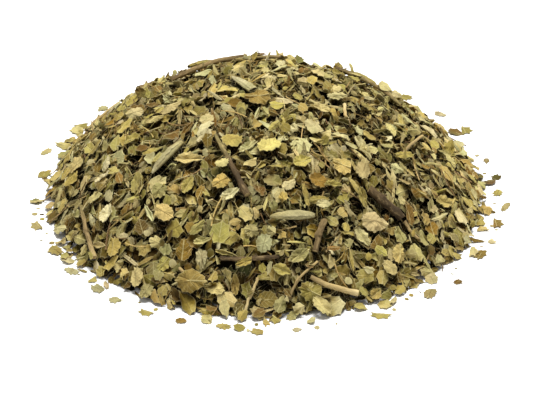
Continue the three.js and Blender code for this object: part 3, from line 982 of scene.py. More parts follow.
# Routes over the heap and radii at both ends, in mm, as in the part's source. Colours run along the stalk.
brownTwigs = [
    {"route": [(-24, 17), (-15, 25), (-6, 33)], "radii": (0.6, 0.7), "knots": [0.15, 0.55],
     "colours": ["brownBark", "tanBark", "tanBark", "brownBark"]},
    {"route": [(-12.5, -14.5), (-9.3, -23), (-4.7, -33)], "radii": (0.4, 0.85), "knots": [0.3, 0.46, 0.9],
     "colours": ["greenBark", "greenBark", "brownBark", "darkBark", "brownBark"]},
    {"route": [(24.8, -26.5), (29, -28), (32.8, -29.5)], "radii": (1.1, 1.0), "knots": [0.35, 0.8],
     "colours": ["brownBark", "darkBark", "darkBark"]},
    {"route": [(33.4, -29.7), (35.4, -31.2), (38, -31.6)], "radii": (0.45, 0.3),
     "colours": ["tanBark", "straw", "tanBark"]},
    {"route": [(13.8, -37), (12.6, -40), (11.6, -43.4)], "radii": (0.8, 0.7), "knots": [0.5],
     "colours": ["tanBark", "brownBark"]},
    {"route": [(-11, -45), (-4, -45.6), (3, -45.2)], "radii": (0.55, 0.5), "knots": [0.6],
     "colours": ["darkBark", "brownBark", "darkBark"]},
    {"route": [(-45.7, -18), (-44.2, -25), (-42, -33)], "radii": (0.45, 0.65), "knots": [0.5, 0.95],
     "colours": ["greenBark", "tanBark", "tanBark", "wood"]},
    {"route": [(-21, -44.5), (-17, -47), (-13, -47.5)], "radii": (0.4, 0.35),
     "colours": ["straw", "tanBark", "brownBark"]},
    {"route": [(18, 30), (27, 24), (34, 15)], "radii": (0.55, 0.45), "cover": 50,
     "colours": ["brownBark", "greenBark", "tanBark", "greenBark"]},
    {"route": [(-33, 27), (-30, 35), (-24, 41)], "radii": (0.7, 0.9), "knots": [0.4],
     "colours": ["tanBark", "brownBark"]},
    {"route": [(6, 44), (12, 43), (20, 44)], "radii": (0.6, 0.5), "knots": [0.6],
     "colours": ["brownBark", "tanBark"]},
]
strawStalks = [
    {"route": [(10.6, -48), (16, -48.7), (21.8, -48.3)], "radii": (0.55, 0.75),
     "colours": ["tanBark", "straw", "straw", "paleStraw"]},
    {"route": [(-2.1, -48.8), (-4, -52), (-5.7, -54.8)], "radii": (0.36, 0.36),
     "colours": ["straw", "paleStraw"]},
    {"route": [(12.2, -45), (8, -48.3), (5.3, -52)], "radii": (0.3, 0.32), "knots": [0.6],
     "colours": ["straw", "tanBark"]},
    {"route": [(39, 2.4), (36, -4.5), (33, -12)], "radii": (0.35, 0.4), "colours": ["straw", "tanBark"]},
    {"route": [(19.3, 1.6), (19.6, -3), (20.6, -7.5)], "radii": (0.45, 0.35),
     "colours": ["paleStraw", "straw", "brownBark"]},
    {"route": [(-8, 26), (0, 31), (9, 30)], "radii": (0.45, 0.55), "cover": 90,
     "colours": ["greenBark", "tanBark"]},
    {"route": [(-46, 14), (-44, 22), (-38, 28)], "radii": (0.4, 0.5), "cover": 40,
     "colours": ["tanBark", "straw"]},
]
stalkColours = {
    "wood": (188, 164, 112),
    "tanBark": (134, 113, 74),
    "greenBark": (132, 119, 74),
    "brownBark": (97, 79, 52),
    "darkBark": (72, 58, 39),
    "straw": (184, 160, 106),
    "paleStraw": (204, 184, 132),
}
stalkBuild = {
    "sides": 14,
    "rings": 26,
    "seat": 0.45,  # share of its radius that its middle lies over the heap
    "wobble": 0.09,  # share of its radius
    "lumps": 0.035,
    "kink": 0.13,  # mm off its route
    "knot": 1.3,
    "bud": 0.5,  # mm out of the bark
    "endDepth": 0.16,
    "points": 41,  # along its middle
    "waves": (1.5, 3.2, 5.1),  # of its kinks along its length
    "lumpWaves": (2.3, 5.2),
    "knotLength": 0.5,  # mm
    "budFrom": 0.6,  # radians round the stalk from its top, to the first bud
    "budTurn": 1.9,  # to the next
    "pith": 0.72,  # share of its radius at a cut end that shows wood
    "stretch": 0.3,  # of the bark's pattern along the stalk
    "ground": 0.02,  # mm that it stays clear of the ground
    "side": 0.25,  # mm at each side that leaf pieces keep out of
    "under": 0.1,
}


# Points along a stalk's middle with its radius there, from its route over the heap.
def middleOf(stalk):
    most = max(stalk["radii"])
    least = most + stalkBuild["ground"]
    seat = stalkBuild["seat"] * most
    ends = [(x, y, max(heapHeight(x, y) + seat, least)) for x, y in stalk["route"]]
    first, middle, last = (np.array(end) for end in ends)
    t = np.linspace(0, 1, stalkBuild["points"])[:, None]
    control = 2 * middle - (first + last) / 2
    points = (1 - t) ** 2 * first + 2 * t * (1 - t) * control + t**2 * last
    bearings = draw.uniform(0, 2 * math.pi, len(stalkBuild["waves"]))
    for bearing, waves in zip(bearings, stalkBuild["waves"]):
        sway = stalkBuild["kink"] * np.sin(t[:, 0] * waves * 2 * math.pi + bearing) / math.sqrt(waves)
        points += np.outer(sway, (math.cos(bearing), math.sin(bearing), 0))
    radii = np.interp(t[:, 0], (0, 1), stalk["radii"])
    return points, radii


# Keeps leaf pieces out of the way of what will lie in the surface, down to its underside.
def keepClear(points, radii):
    for point, radius in zip(points, radii):
        near = np.hypot(gridX - point[0], gridY - point[1]) < radius + stalkBuild["side"]
        highest = point[2] - radius - fill["proud"] - stalkBuild["under"]
        ceiling[near] = np.minimum(ceiling[near], highest)


def raiseLevel(points, radii):
    for point, radius in zip(points, radii):
        near = np.hypot(gridX - point[0], gridY - point[1]) < radius
        level[near] = np.maximum(level[near], point[2] + radius)


# A straight stalk grown ring by ring along X, then bent along its route.
def modelStalk(name, stalk, points, material, seed):
    length = float(np.linalg.norm(np.diff(points, axis=0), axis=1).sum())
    rings = stalkBuild["rings"]
    shares = np.linspace(0, 1, rings + 1)
    rounds = np.interp(shares, (0, 1), stalk["radii"])
    for waves in stalkBuild["lumpWaves"]:
        rounds *= 1 + stalkBuild["lumps"] * np.sin(shares * waves * 2 * math.pi + seed * waves)
    for knot in stalk.get("knots", []):
        away = (shares - knot) * length / stalkBuild["knotLength"]
        rounds *= 1 + (stalkBuild["knot"] - 1) * np.exp(-(away**2))
    deselectAll()
    bpy.ops.mesh.primitive_circle_add(
        vertices=stalkBuild["sides"], radius=rounds[0] * mm, fill_type="NGON", rotation=(0, math.pi / 2, 0)
    )
    bpy.ops.object.transform_apply(rotation=True)
    piece = bpy.context.object
    piece.name = name
    editAll()
    for ring in range(rings):
        bpy.ops.mesh.extrude_region_move(TRANSFORM_OT_translate={"value": (length / rings * mm, 0, 0)})
        ratio = rounds[ring + 1] / rounds[ring]
        bpy.ops.transform.resize(value=(1, ratio, ratio), center_override=(0, 0, 0))
    bpy.ops.mesh.select_all(action="SELECT")
    bpy.ops.transform.vertex_random(offset=stalkBuild["wobble"] * rounds[0] * mm, seed=seed)
    faceOutwards(piece)
    for end, way in ((0, 1), (length, -1)):
        hollowEnd(piece, end, way, rounds[0 if way > 0 else -1])
    for k, knot in enumerate(stalk.get("knots", [])):
        growBud(piece, knot * length, stalkBuild["budFrom"] + stalkBuild["budTurn"] * k)
    straight = coordinates(piece.data)

    path = bpy.data.curves.new(name + "Path", "CURVE")
    path.dimensions = "3D"
    line = path.splines.new("POLY")
    line.points.add(len(points) - 1)
    line.points.foreach_set("co", np.column_stack([points * mm, np.ones(len(points))]).ravel())
    guide = bpy.data.objects.new(name + "Path", path)
    bpy.context.collection.objects.link(guide)
    selectOnly(piece)
    applyModifier("CURVE", object=guide, deform_axis="POS_X")
    bpy.data.objects.remove(guide)

    mesh = piece.data
    share = np.clip(straight[:, 0] / length, 0, 1)
    tint = tintAlong(share, [stalkColours[colour] for colour in stalk["colours"]])
    inner = np.hypot(straight[:, 1], straight[:, 2]) < stalkBuild["pith"] * np.interp(share, shares, rounds)
    tint[inner] = paint(*stalkColours["wood"])
    setAttribute(mesh, "tint", "FLOAT_COLOR", tint)
    setAttribute(mesh, "grain", "FLOAT_VECTOR", straight * (stalkBuild["stretch"], 1, 1))
    mesh.materials.append(material)
    smooth(piece, 50)
    finishPiece(piece, [name])


# The cut face at an end: a rim of bark round softer wood that shrank back.
def hollowEnd(piece, end, way, radius):
    editFaces(piece, lambda face: len(face.vertices) > 4 and abs(face.center.x / mm - end) < 0.3)
    bpy.ops.mesh.inset(thickness=0.35 * radius * mm)
    bpy.ops.transform.translate(value=(way * stalkBuild["endDepth"] * mm, 0, 0))
    leaveFaces()


# Where a bud or side shoot broke off: a stub out of the bark, at an angle round the stalk from its top.
def growBud(piece, along, turn):
    toward = Vector((0, math.sin(turn), math.cos(turn)))
    sides = [face for face in piece.data.polygons if len(face.vertices) == 4 and abs(face.normal.x) < 0.6]
    place = min(sides, key=lambda face: abs(face.center.x / mm - along) - face.normal.dot(toward))
    index = place.index
    out = (place.normal + Vector((0.5, 0, 0))).normalized() * stalkBuild["bud"] * mm
    editFaces(piece, lambda face: face.index == index)
    for share in (0.4, 0.6):
        bpy.ops.mesh.extrude_region_move(TRANSFORM_OT_translate={"value": out * share})
        bpy.ops.transform.resize(value=(0.8,) * 3)
    leaveFaces()


rolledLeaves = {  # ends on the heap and width in mm, as in the part's source, and its share at both ends
    "rolled_leaf_1": {
        "from": (-8.8, 13.6), "to": (-3.4, 5.2), "width": 2.6, "ends": (0.12, 1.0), "flat": 0.4,
        "colours": ["cream", "cream", "sage"]
    },
    "rolled_leaf_2": {
        "from": (-27.8, -22), "to": (-20.4, -15), "width": 2.5, "ends": (0.16, 0.4),
        "colours": ["cream", "sage", "sage", "khaki"]
    },
    "rolled_leaf_3": {
        "from": (0.8, -37.6), "to": (11.6, -36.2), "width": 2.6, "ends": (0.14, 0.34), "flat": 0.5,
        "colours": ["khaki", "sage", "sage"]
    },
    "rolled_leaf_4": {
        "from": (28, 26), "to": (20, 33), "width": 2.6, "ends": (0.3, 0.14), "flat": 0.5,
        "colours": ["olive", "greyGreen"]
    },
    "rolled_leaf_5": {
        "from": (-20, 32), "to": (-12, 38), "width": 2.6, "ends": (0.5, 0.2), "flat": 0.5,
        "colours": ["olive", "greyGreen"]
    },
}
rollBuild = {
    "rows": 26,
    "across": 22,
    "turn": 430,  # degrees, so that one edge lies over the other along the top
    "spread": 0.3,  # how much smaller its radius is at the inner edge
    "flat": 0.66,
    "thickness": 0.16,  # mm
    "rough": 0.12,
    "wavy": 0.07,
    "shade": 0.9,
}


def rollFrame(roll):
    start, end = (Vector((x, y, float(heapHeight(x, y)))) for x, y in (roll["from"], roll["to"]))
    along = (end - start).normalized()
    middle = (start + end) / 2
    across = outwardAt(middle.x, middle.y).cross(along).normalized()
    out = along.cross(across)
    turn = Matrix((along, across, out)).transposed().to_4x4()
    return start, end, Matrix.Translation(middle * mm) @ turn


def modelRoll(name, roll, seed):
    start, end, placing = rollFrame(roll)
    length = (end - start).length
    radius = roll["width"] / 2
    wide = math.radians(rollBuild["turn"]) * radius
    deselectAll()
    rows, across = rollBuild["rows"], rollBuild["across"]
    bpy.ops.mesh.primitive_grid_add(x_subdivisions=rows, y_subdivisions=across, size=1)
    piece = bpy.context.object
    piece.name = name
    editAll()
    bpy.ops.transform.resize(value=(length * mm, wide * mm, 1), center_override=(0, 0, 0))
    select(piece, lambda place: abs(place.y) > wide * 0.49)
    bpy.ops.transform.vertex_random(offset=rollBuild["rough"] * 2.5 * mm, seed=seed)
    bpy.ops.object.mode_set(mode="OBJECT")
    addLeafMap(piece.data)
    outer = coordinates(piece.data)[:, 1] / wide + 0.5
    bend(piece, -rollBuild["turn"], lengthways=False)
    editAll()
    bpy.ops.transform.vertex_random(offset=rollBuild["rough"] * mm, seed=seed + 50)
    bpy.ops.object.mode_set(mode="OBJECT")
    mesh = piece.data
    places = coordinates(mesh)
    share = np.clip(places[:, 0] / length + 0.5, 0, 1)
    taper = np.interp(share, (0, 1), roll["ends"])
    taper += (1 - sum(roll["ends"]) / 2) * np.sin(math.pi * share) ** 0.7
    taper *= 1 + rollBuild["wavy"] * np.sin(share * 19 + seed) * np.sin(share * 7)
    spread = 1 - rollBuild["spread"] * (1 - outer)
    places[:, 1] *= spread * taper
    places[:, 2] = radius + (places[:, 2] - radius) * spread
    places[:, 2] = (places[:, 2] - places[:, 2].min()) * taper * roll.get("flat", rollBuild["flat"])
    mesh.vertices.foreach_set("co", (places * mm).ravel())
    # The edges take the leaf material's pale margin, partly a painted highlight.
    setAttribute(mesh, "edge", "FLOAT", np.clip(np.abs(outer * 2 - 1), 0, 1))
    colours = [np.array(leafColours[colour]) * rollBuild["shade"] for colour in roll["colours"]]
    setAttribute(mesh, "tint", "FLOAT_COLOR", tintAlong(share, colours))
    selectOnly(piece)
    applyModifier("SOLIDIFY", thickness=rollBuild["thickness"] * mm, offset=0.0)
    applyModifier("SUBSURF", levels=1, render_levels=1)
    piece.matrix_world = placing
    bpy.ops.object.transform_apply(location=True, rotation=True, scale=True)
    piece.data.materials.append(leafMaterial)
    faceOutwards(piece)
    smooth(piece, 40)
    finishPiece(piece, [name])


# Leaf pieces that stand out in the picture. Each has its place there in pixels, its length in mm, its width
# as a share of the length, its heading on the picture in degrees, and its colour.
showLeaves = {
    (170, 111): (6.3, 0.5, 20, "khaki"),
    (135, 112): (5.2, 0.6, 10, "sage"),
    (153, 106): (4.2, 0.8, 0, "dark"),
    (204, 137): (5.2, 0.85, 30, "cream"),
    (232, 139): (5.5, 0.9, 0, "olive"),
    (248, 145): (6.4, 0.4, 35, "sage"),
    (269, 147): (6.9, 0.8, 25, "yellow"),
    (189, 159): (7.1, 0.5, -5, "khaki"),
    (77, 165): (5.6, 0.75, 28, "khaki"),
    (71, 181): (5.2, 0.6, 0, "olive"),
    (105, 165): (4.4, 0.55, 62, "cream"),
    (137, 181): (6.0, 0.52, 58, "olive"),
    (188, 188): (5.0, 0.62, 48, "olive"),
    (221, 181): (5.2, 0.75, 10, "tan"),
    (273, 174): (5.0, 0.9, 0, "greyGreen"),
    (289, 181): (4.6, 0.7, 45, "sage"),
    (207, 118): (4.6, 0.7, 35, "khaki"),
    (199, 97): (3.0, 0.85, 0, "yellow"),
    (259, 99): (7.6, 0.7, 0, "moss"),
    (132, 140): (5.6, 0.6, -20, "olive"),
    (154, 121): (5.2, 0.42, 5, "khaki"),
    (103, 178): (5.8, 0.4, -8, "cream"),
    (274, 65): (4.6, 0.5, -20, "khaki"),
    (159, 191): (4.8, 0.85, 30, "greyGreen"),
    (222, 166): (3.6, 0.8, 0, "khaki"),
    (230, 194): (5.3, 0.58, 10, "cream"),
    (256, 201): (6.8, 0.75, 28, "greyGreen"),
    (337, 97): (5.0, 0.52, 0, "sage"),
    (321, 110): (6.0, 0.5, -6, "khaki"),
    (314, 130): (5.8, 0.72, -42, "sage"),
    (390, 129): (4.6, 0.78, -60, "khaki"),
    (410, 121): (5.6, 0.5, -15, "sage"),
    (449, 160): (4.8, 0.7, -30, "khaki"),
    (343, 167): (6.0, 0.78, -8, "yellow"),
    (364, 171): (7.2, 0.55, 76, "greyGreen"),
    (362, 147): (8.0, 0.35, -50, "sage"),
    (405, 159): (6.0, 0.42, 20, "olive"),
    (397, 171): (3.8, 0.8, 0, "sage"),
    (357, 128): (5.0, 0.4, -50, "sage"),
    (341, 136): (5.2, 0.42, -20, "sage"),
    (302, 163): (4.8, 0.8, 10, "olive"),
    (318, 181): (5.2, 0.8, 0, "brown"),
    (369, 104): (4.8, 0.5, -10, "olive"),
    (353, 79): (4.2, 0.6, -25, "olive"),
    (124, 197): (4.9, 0.4, 22, "sage"),
    (107, 215): (5.2, 0.85, 62, "cream"),
    (164, 219): (5.5, 0.8, -22, "yellow"),
    (183, 250): (5.8, 0.78, 80, "brown"),
    (202, 260): (6.0, 0.5, 88, "sage"),
    (136, 278): (5.0, 0.7, 78, "khaki"),
    (190, 291): (7.8, 0.8, -10, "moss"),
    (215, 288): (5.4, 0.6, -12, "khaki"),
    (197, 229): (5.2, 0.5, 25, "greyGreen"),
    (252, 232): (4.4, 0.75, 15, "greyGreen"),
    (264, 245): (4.8, 0.88, 60, "sage"),
    (235, 279): (5.6, 0.4, 92, "tan"),
    (267, 293): (5.6, 0.85, 0, "moss"),
    (281, 305): (4.8, 0.7, 50, "greyGreen"),
    (164, 262): (5.0, 0.7, 20, "olive"),
    (113, 250): (5.0, 0.9, 70, "olive"),
    (202, 243): (4.4, 0.5, 0, "khaki"),
    (61, 206): (4.6, 0.5, 52, "olive"),
    (282, 270): (5.0, 0.62, 0, "olive"),
    (245, 266): (5.0, 0.4, 6, "tan"),
    (350, 208): (4.6, 0.45, -10, "sage"),
    (375, 226): (7.0, 0.85, 10, "khaki"),
    (323, 211): (4.0, 0.6, 15, "sage"),
    (444, 199): (5.2, 0.72, 20, "yellow"),
    (425, 212): (5.8, 0.5, 100, "tan"),
    (409, 214): (6.6, 0.34, 104, "brown"),
    (400, 257): (5.2, 0.75, 82, "yellow"),
    (391, 271): (5.0, 0.75, 0, "khaki"),
    (362, 237): (5.4, 0.62, -20, "sage"),
    (401, 239): (5.0, 0.85, -40, "greyGreen"),
    (319, 197): (5.2, 0.5, 0, "moss"),
    (363, 198): (5.4, 0.4, -62, "olive"),
    (305, 194): (6.6, 0.25, -68, "olive"),
    (333, 185): (5.2, 0.5, 22, "olive"),
    (312, 294): (6.8, 0.78, -10, "moss"),
    (322, 310): (5.8, 0.6, -22, "khaki"),
    (299, 255): (5.6, 0.6, 22, "greyGreen"),
    (432, 240): (4.0, 0.7, 60, "tan"),
    (376, 292): (3.6, 0.85, 40, "tan"),
    (146, 293): (4.6, 0.8, 30, "greyGreen"),
}
standing = {  # the same for leaf pieces that stand up at the top, leaning to the back
    (256, 56): (4.6, 0.7, 70, "brown"),
    (263, 56): (3.6, 0.5, 50, "olive"),
    (277, 55): (3.2, 0.35, 100, "olive"),
    (338, 66): (3.8, 0.7, 40, "olive"),
    (351, 68): (3.2, 0.4, 120, "khaki"),
    (160, 80): (4.2, 0.8, 20, "khaki"),
    (141, 92): (4.0, 0.7, 0, "dark"),
    (128, 98): (3.6, 0.6, 60, "khaki"),
    (99, 115): (4.2, 0.5, 10, "dark"),
    (228, 58): (3.4, 0.6, 0, "olive"),
    (246, 56): (3.8, 0.5, 110, "khaki"),
    (290, 57): (4.2, 0.7, 20, "olive"),
    (302, 58): (3.8, 0.6, -20, "sage"),
    (313, 59): (3.6, 0.6, 30, "khaki"),
    (325, 62): (3.8, 0.7, 50, "greyGreen"),
    (382, 82): (4.2, 0.4, 0, "olive"),
    (434, 122): (4.0, 0.6, 30, "brown"),
    (450, 146): (4.4, 0.8, 60, "tan"),
}
laidFlat = {
    "allow": 5,  # mm over the outer surface, at most
    "steady": (0.35, 0.75),  # how far they lie along that surface, and not along what is under them
    "bed": 2.0,  # mm round each that stays free of other pieces
    "bedDepth": 0.5,
}
standUp = {
    "below": 3,  # px from its middle down to its foot
    "lean": 1.3,
    "allow": 7.5,
    "middle": 1.1,  # mm that its middle is over what was there, at most
    "foot": 0.3,  # mm that its lowest point is in it, at least
}

fill = {
    "inside": {"tries": 17000, "allow": -0.4, "spare": 0.8, "lean": 0.22},
    "top": {"tries": 5200, "allow": 0.9, "spare": 1.0, "lean": 0.4},
    "crumbs": {"tries": 3600, "allow": 0.2, "spare": 0.8, "lean": 0.4},
    "batch": 60,
    "slivers": 0.13,  # share of the tries
    "fibres": 0.09,
    "crumbFibres": 0.2,
    "proud": 0.9,  # mm over the outer surface
    "piecesPerMesh": 290,
}
sizes = {  # as shares of the modelled length
    "inside": {"fibre": (0.5, 1.3), "sliver": (0.6, 1.4)},
    "top": {"fibre": (0.6, 1.5), "sliver": (0.5, 1.1), "flake": (0.5, 1.25)},
    "crumbs": {"fibre": (0.25, 0.6), "crumb": (0.16, 0.45)},
    "grades": (0.5, 0.7, 0.9, 1.1, 1.35),  # of the flakes inside
    "gradeShares": (0.16, 0.24, 0.28, 0.2, 0.12),
    "inGrade": (0.9, 1.1),
}
cover = {"tries": 9, "aside": 0.9, "allow": 3.0, "ends": (0.3, 0.75), "along": (0.5, 1.0)}  # of each stalk
rim = {"tries": 700, "away": (54.3, 1.5), "lean": 0.12, "allow": 0.9, "sizes": (0.55, 1.05)}  # mm
floorCrumbs = {"tries": 60, "from": 56.5, "spread": 1.2, "reach": 60, "sizes": (0.12, 0.3), "allow": 0.7}
underside = {
    "pieces": 500,
    "rim": 3.5,  # mm that their middles stay inside the heap's edge
    # a fixed painted shade on their colour, in place of daylight()
    "light": 0.8,
    "flat": 0.25,
    "sizes": (0.95, 1.35),
    "height": (0.2, 0.7),
}


def pick(options):
    return options[draw.choice(len(options))]


def drawGrade():
    return draw.choice(sizes["grades"], p=sizes["gradeShares"]) * draw.uniform(*sizes["inGrade"])


def drawPiece(where):
    kind = draw.random()
    if where == "crumbs" and kind >= fill["crumbFibres"]:
        return "leaf", pick(crumbPatterns), draw.uniform(*sizes[where]["crumb"])
    if where == "crumbs" or kind < fill["fibres"]:
        return "fibre", pick(fibrePatterns), draw.uniform(*sizes[where]["fibre"])
    if kind < fill["fibres"] + fill["slivers"]:
        return "leaf", pick(sliverPatterns), draw.uniform(*sizes[where]["sliver"])
    pattern = pick(flakePatterns)
    return "leaf", pattern, draw.uniform(*sizes["top"]["flake"]) if where == "top" else drawGrade()


# Lays one piece and keeps it with its colour.
def lay(sort, pattern, size, x, y, heading, colour=None, **how):
    spot = settle(pattern, size, x, y, heading, turned=draw.random() < 0.5, **how)
    if not spot:
        return False
    depth = float(heapHeight(x, y)) - spot["place"][2] - 0.5
    if sort == "fibre":
        spot["tint"] = drawTint(depth, fibreColours, colour)
        laidFibres.append(spot)
    else:
        spot["tint"] = drawTint(depth, leafColours, colour)
        laidLeaves.append(spot)
    return True


# Pieces drop where there is still room under the heap's outer surface.
def dropPieces(where):
    tries, allow, spare, lean = (fill[where][name] for name in ("tries", "allow", "spare", "lean"))
    for _ in range(tries // fill["batch"]):
        room = np.clip(ceiling + allow - level - spare, 0, None) ** 1.5
        running = np.cumsum(room.ravel())
        for cell in np.searchsorted(running, draw.uniform(0, running[-1], fill["batch"])):
            x = axis[cell // len(axis)] + draw.uniform(-0.2, 0.2)
            y = axis[cell % len(axis)] + draw.uniform(-0.2, 0.2)
            sort, pattern, size = drawPiece(where)
            heading = draw.uniform(0, 2 * math.pi)
            lay(sort, pattern, size, x, y, heading, lean=draw.normal(0, lean, 2), allow=allow)


def groundHeading(onPicture):
    turn = math.radians(onPicture)
    return math.atan2(math.sin(turn) / view["flatten"], math.cos(turn))


def overSurface(before, x, y, z):
    cell = tuple(int(round((place + field["reach"]) / field["cell"])) for place in (x, y))
    return z - min(before[cell], float(heapHeight(x, y)) + field["bumps"])


# Pushes the foot of a standing leaf in among what was there before it.
def lowerLast(before, x, y):
    leaf = laidLeaves[-1]
    points = leaf["pattern"]["points"] @ leaf["axes"] + leaf["place"]
    foot = points[points[:, 2].argmin()]
    drop = max(overSurface(before, x, y, leaf["place"][2]) - standUp["middle"], 0)
    drop = max(overSurface(before, *foot) + standUp["foot"], drop)
    leaf["place"][2] -= drop
    level[:] = np.where(level > before, np.maximum(before, level - drop), level)


def layShowLeaf(k, x, y, length, wide, heading, colour, **how):
    pattern = showPatterns[k % len(showPatterns)]
    widen = wide / flake["width"]
    return lay("leaf", pattern, length / flake["length"], x, y, heading, colour, widen=widen, **how)


def layShowLeaves():
    laid = 0
    for k, ((px, py), (length, wide, heading, colour)) in enumerate(showLeaves.items()):
        x, y = spotAt(px, py)
        how = {"allow": laidFlat["allow"], "steady": draw.uniform(*laidFlat["steady"])}
        laid += layShowLeaf(k, x, y, length, wide, groundHeading(heading), colour, **how)
    for k, ((px, py), (length, wide, heading, colour)) in enumerate(standing.items()):
        x, y = spotAt(px, py + standUp["below"])
        how = {"lean": (0, standUp["lean"]), "allow": standUp["allow"]}
        before = level.copy()
        if layShowLeaf(k, x, y, length, wide, math.radians(heading), colour, **how):
            lowerLast(before, x, y)
            laid += 1
    missed = len(showLeaves) + len(standing) - laid
    print("leaf pieces laid by the picture:", laid, "left out:", missed)


# A few small pieces that lie half over each stalk and rolled leaf.
def coverEnds(routes, tries):
    for (points, radii), more in zip(routes, tries):
        for _ in range(more or cover["tries"]):
            share = draw.uniform() if more else draw.beta(0.5, 0.5)
            x, y = points[int(share * (len(points) - 1))][:2] + draw.normal(0, cover["aside"], 2)
            heading = draw.uniform(0, 2 * math.pi)
            pattern = pick(flakePatterns + sliverPatterns)
            size = draw.uniform(*cover["along" if more else "ends"])
            lay("leaf", pattern, size, x, y, heading, allow=cover["allow"])


def layRim():
    for _ in range(rim["tries"]):
        bearing = draw.uniform(0, 2 * math.pi)
        away = draw.normal(*rim["away"])
        x, y = away * math.cos(bearing), away * math.sin(bearing)
        lean = draw.normal(0, rim["lean"], 2)
        size = draw.uniform(*rim["sizes"])
        pattern = pick(flakePatterns + showPatterns)
        lay("leaf", pattern, size, x, y, draw.uniform(0, 7), lean=lean, allow=rim["allow"])


def layFloorCrumbs():
    kept = len(laidLeaves)
    for _ in range(floorCrumbs["tries"]):
        bearing = draw.uniform(0, 2 * math.pi)
        away = floorCrumbs["from"] + draw.exponential(floorCrumbs["spread"])
        if away < floorCrumbs["reach"]:
            x, y = away * math.cos(bearing), away * math.sin(bearing)
            pattern = pick(crumbPatterns)
            size = draw.uniform(*floorCrumbs["sizes"])
            lay("leaf", pattern, size, x, y, bearing, allow=floorCrumbs["allow"])
    return len(laidLeaves) - kept


# Pieces pressed flat under the heap.
def undersidePieces():
    pieces = []
    for k in range(underside["pieces"]):
        away = (heap["radius"] - underside["rim"]) * math.sqrt((k + 0.5) / underside["pieces"])
        bearing = k * math.pi * (3 - math.sqrt(5))
        x, y = away * math.cos(bearing), away * math.sin(bearing)
        heading = draw.uniform(0, 2 * math.pi)
        size = draw.uniform(*underside["sizes"])
        lengthways = np.array([math.cos(heading), math.sin(heading), 0])
        sideways = np.array([-math.sin(heading), math.cos(heading), 0])
        pieces.append({
            "pattern": pick(flakePatterns),
            "axes": np.array([lengthways, sideways, np.array([0, 0, underside["flat"]])]) * size,
            "place": np.array([x, y, draw.uniform(*underside["height"])]),
            "tint": drawTint(1.0),
            "light": underside["light"],
        })
    return pieces


core = {"radius": 48.5, "rings": 16, "sides": 72, "bottom": 0.9, "wall": 0.4, "least": 1.3, "lumps": 0.25}


def addCore():
    deselectAll()
    radius, middle = core["radius"] * mm, (0, 0, core["bottom"] * mm)
    bpy.ops.mesh.primitive_circle_add(vertices=core["sides"], radius=radius, fill_type="NGON", location=middle)
    bpy.ops.object.transform_apply(location=True)
    piece = bpy.context.object
    piece.name = "heap_inside"
    editAll()
    bpy.ops.mesh.extrude_region_move(TRANSFORM_OT_translate={"value": (0, 0, core["wall"] * mm)})
    for ring in range(core["rings"] - 1):
        share = (core["rings"] - ring - 1) / (core["rings"] - ring)
        bpy.ops.mesh.extrude_region_move()
        bpy.ops.transform.resize(value=(share, share, 1), center_override=(0, 0, 0))
    bpy.ops.mesh.poke()
    bpy.ops.object.mode_set(mode="OBJECT")
    mesh = piece.data
    places = coordinates(mesh)
    top = places[:, 2] > core["bottom"] + 0.1
    x, y = places[top, 0], places[top, 1]
    lumps = core["lumps"] * np.sin(x * 0.9) * np.sin(y * 1.1 + 1)
    places[top, 2] = np.maximum(heapHeight(x, y) - heap["layer"] - core["lumps"] + lumps, core["least"])
    mesh.vertices.foreach_set("co", (places * mm).ravel())
    mesh.materials.append(makeCoreMaterial())
    faceOutwards(piece)
    smooth(piece, 40)
    finishPiece(piece, ["leaf_heap"])


looseColours = {
    "leaf_pale": ["khaki", "sage", "cream"],
    "leaf_green": ["olive", "greyGreen", "olive"],
    "leaf_brown": ["brown", "dark"],
}
looseLook = {"scale": 1.2, "depth": (0.5, 2)}  # the solids leave out the teeth, and depth is as in the heap


# A single piece on the ground, as long, as wide and turned as the solid it stands for.
def layLoose(name, k):
    flat = coordinates(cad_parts[name].data)[:, :2]
    middle = (flat.min(axis=0) + flat.max(axis=0)) / 2
    _, _, ways = np.linalg.svd(flat - flat.mean(axis=0), full_matrices=False)
    spread = np.ptp((flat - middle) @ ways.T, axis=0)
    pattern = loosePatterns[k % len(loosePatterns)]
    scale = looseLook["scale"] * spread / np.ptp(pattern["points"][:, :2], axis=0)
    lengthways = np.array([*ways[0], 0]) * scale[0]
    sideways = np.array([-ways[0][1], ways[0][0], 0]) * scale[1]
    upwards = np.array([0, 0, min(scale)])
    axes = np.array([lengthways, sideways, upwards])
    lowest = (pattern["points"] @ axes)[:, 2].min()
    slot = slotOf(name)
    spot = {"pattern": pattern, "axes": axes, "place": np.array([*middle, 0.02 - lowest])}
    spot["tint"] = drawTint(draw.uniform(*looseLook["depth"]), leafColours, pick(looseColours[slot]))
    joinLaid(name.replace("piece", "leaf"), [spot], leafMaterial, [name])


addCamera()
makeStage()
print("camera, light and floor made")

leafMaterial = makeLeafMaterial()
barkMaterial, strawMaterial = (makeStalkMaterial(name, **look) for name, look in stalkLooks.items())
flakePatterns = patternsOf(flakeKinds, 0)
sliverPatterns = patternsOf(sliverKinds, 30)
crumbPatterns = patternsOf(crumbKinds, 40)
showPatterns = patternsOf(showKinds, 50)
loosePatterns = patternsOf(looseKinds, 55)
fibrePatterns = [patternOf(modelFibre(bend, 60 + k)) for k, bend in enumerate(fibre["bends"])]
print("leaf shapes made:", len(flakePatterns + sliverPatterns + crumbPatterns + showPatterns))

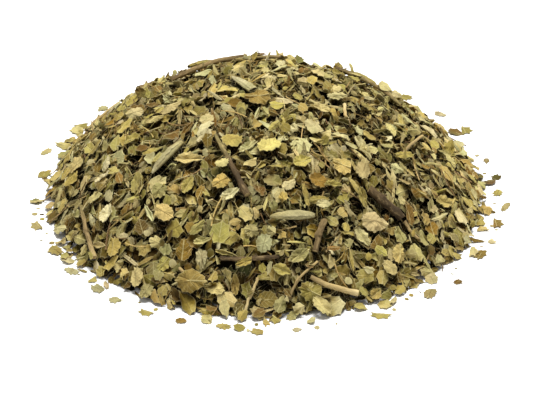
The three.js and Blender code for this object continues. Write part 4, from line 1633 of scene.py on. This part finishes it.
routes = [middleOf(stalk) for stalk in brownTwigs + strawStalks]
rolls = []
for roll in rolledLeaves.values():
    ends = [np.array([x, y, heapHeight(x, y) + roll["width"] / 2]) for x, y in (roll["from"], roll["to"])]
    along = np.linspace(0, 1, 30)[:, None]
    rolls.append((ends[0] * (1 - along) + ends[1] * along, np.full(30, roll["width"] / 2)))
for points, radii in routes + rolls:
    keepClear(points, radii)
for px, py in showLeaves:
    x, y = spotAt(px, py)
    ceiling[np.hypot(gridX - x, gridY - y) < laidFlat["bed"]] -= laidFlat["bedDepth"]

laidLeaves, laidFibres = [], []
dropPieces("inside")
print("leaf pieces laid inside:", len(laidLeaves), "and fibres:", len(laidFibres))
dropPieces("top")
print("with the top layer:", len(laidLeaves))
for points, radii in routes + rolls:
    raiseLevel(points, radii)
layShowLeaves()
coverEnds(routes + rolls, [stalk.get("cover") for stalk in brownTwigs + strawStalks] + [0] * len(rolls))
layRim()
crumbsFrom = len(laidLeaves)
dropPieces("crumbs")
crumbs = layFloorCrumbs()
print("with crumbs and rim:", len(laidLeaves), "leaf pieces and", len(laidFibres), "fibres")
print("crumbs on the ground:", crumbs)
surround = blurred(level, dimming["blur"])

addCore()
overHeap = lambda spot: spot["place"][2] - float(heapHeight(*spot["place"][:2]))
order = sorted(laidLeaves[:crumbsFrom], key=overHeap)
meshes = math.ceil(len(order) / fill["piecesPerMesh"])
for k in range(meshes):
    part = order[k * len(order) // meshes : (k + 1) * len(order) // meshes]
    joinLaid(f"heap_leaves_{k + 1:02d}", part, leafMaterial, ["leaf_heap"])
joinLaid("heap_crumbs", laidLeaves[crumbsFrom:], leafMaterial, ["leaf_heap"])
joinLaid("heap_fibres", laidFibres, barkMaterial, ["leaf_heap"])
joinLaid("heap_underside", undersidePieces(), leafMaterial, ["leaf_heap"])
print("heap built in", meshes, "meshes of leaf pieces")

for k, stalk in enumerate(brownTwigs):
    modelStalk(f"brown_twig_{k + 1}", stalk, routes[k][0], barkMaterial, 70 + k)
for k, stalk in enumerate(strawStalks):
    route = routes[len(brownTwigs) + k][0]
    modelStalk(f"straw_stalk_{k + 1}", stalk, route, strawMaterial, 90 + k)
print("twigs and stalks grown:", len(routes))
for k, (name, roll) in enumerate(rolledLeaves.items()):
    modelRoll(name, roll, 110 + k)
loose = sorted(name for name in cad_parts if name.startswith("loose_piece"))
for k, name in enumerate(loose):
    layLoose(name, k)
print("rolled leaves:", len(rolledLeaves), "loose pieces:", len(loose))
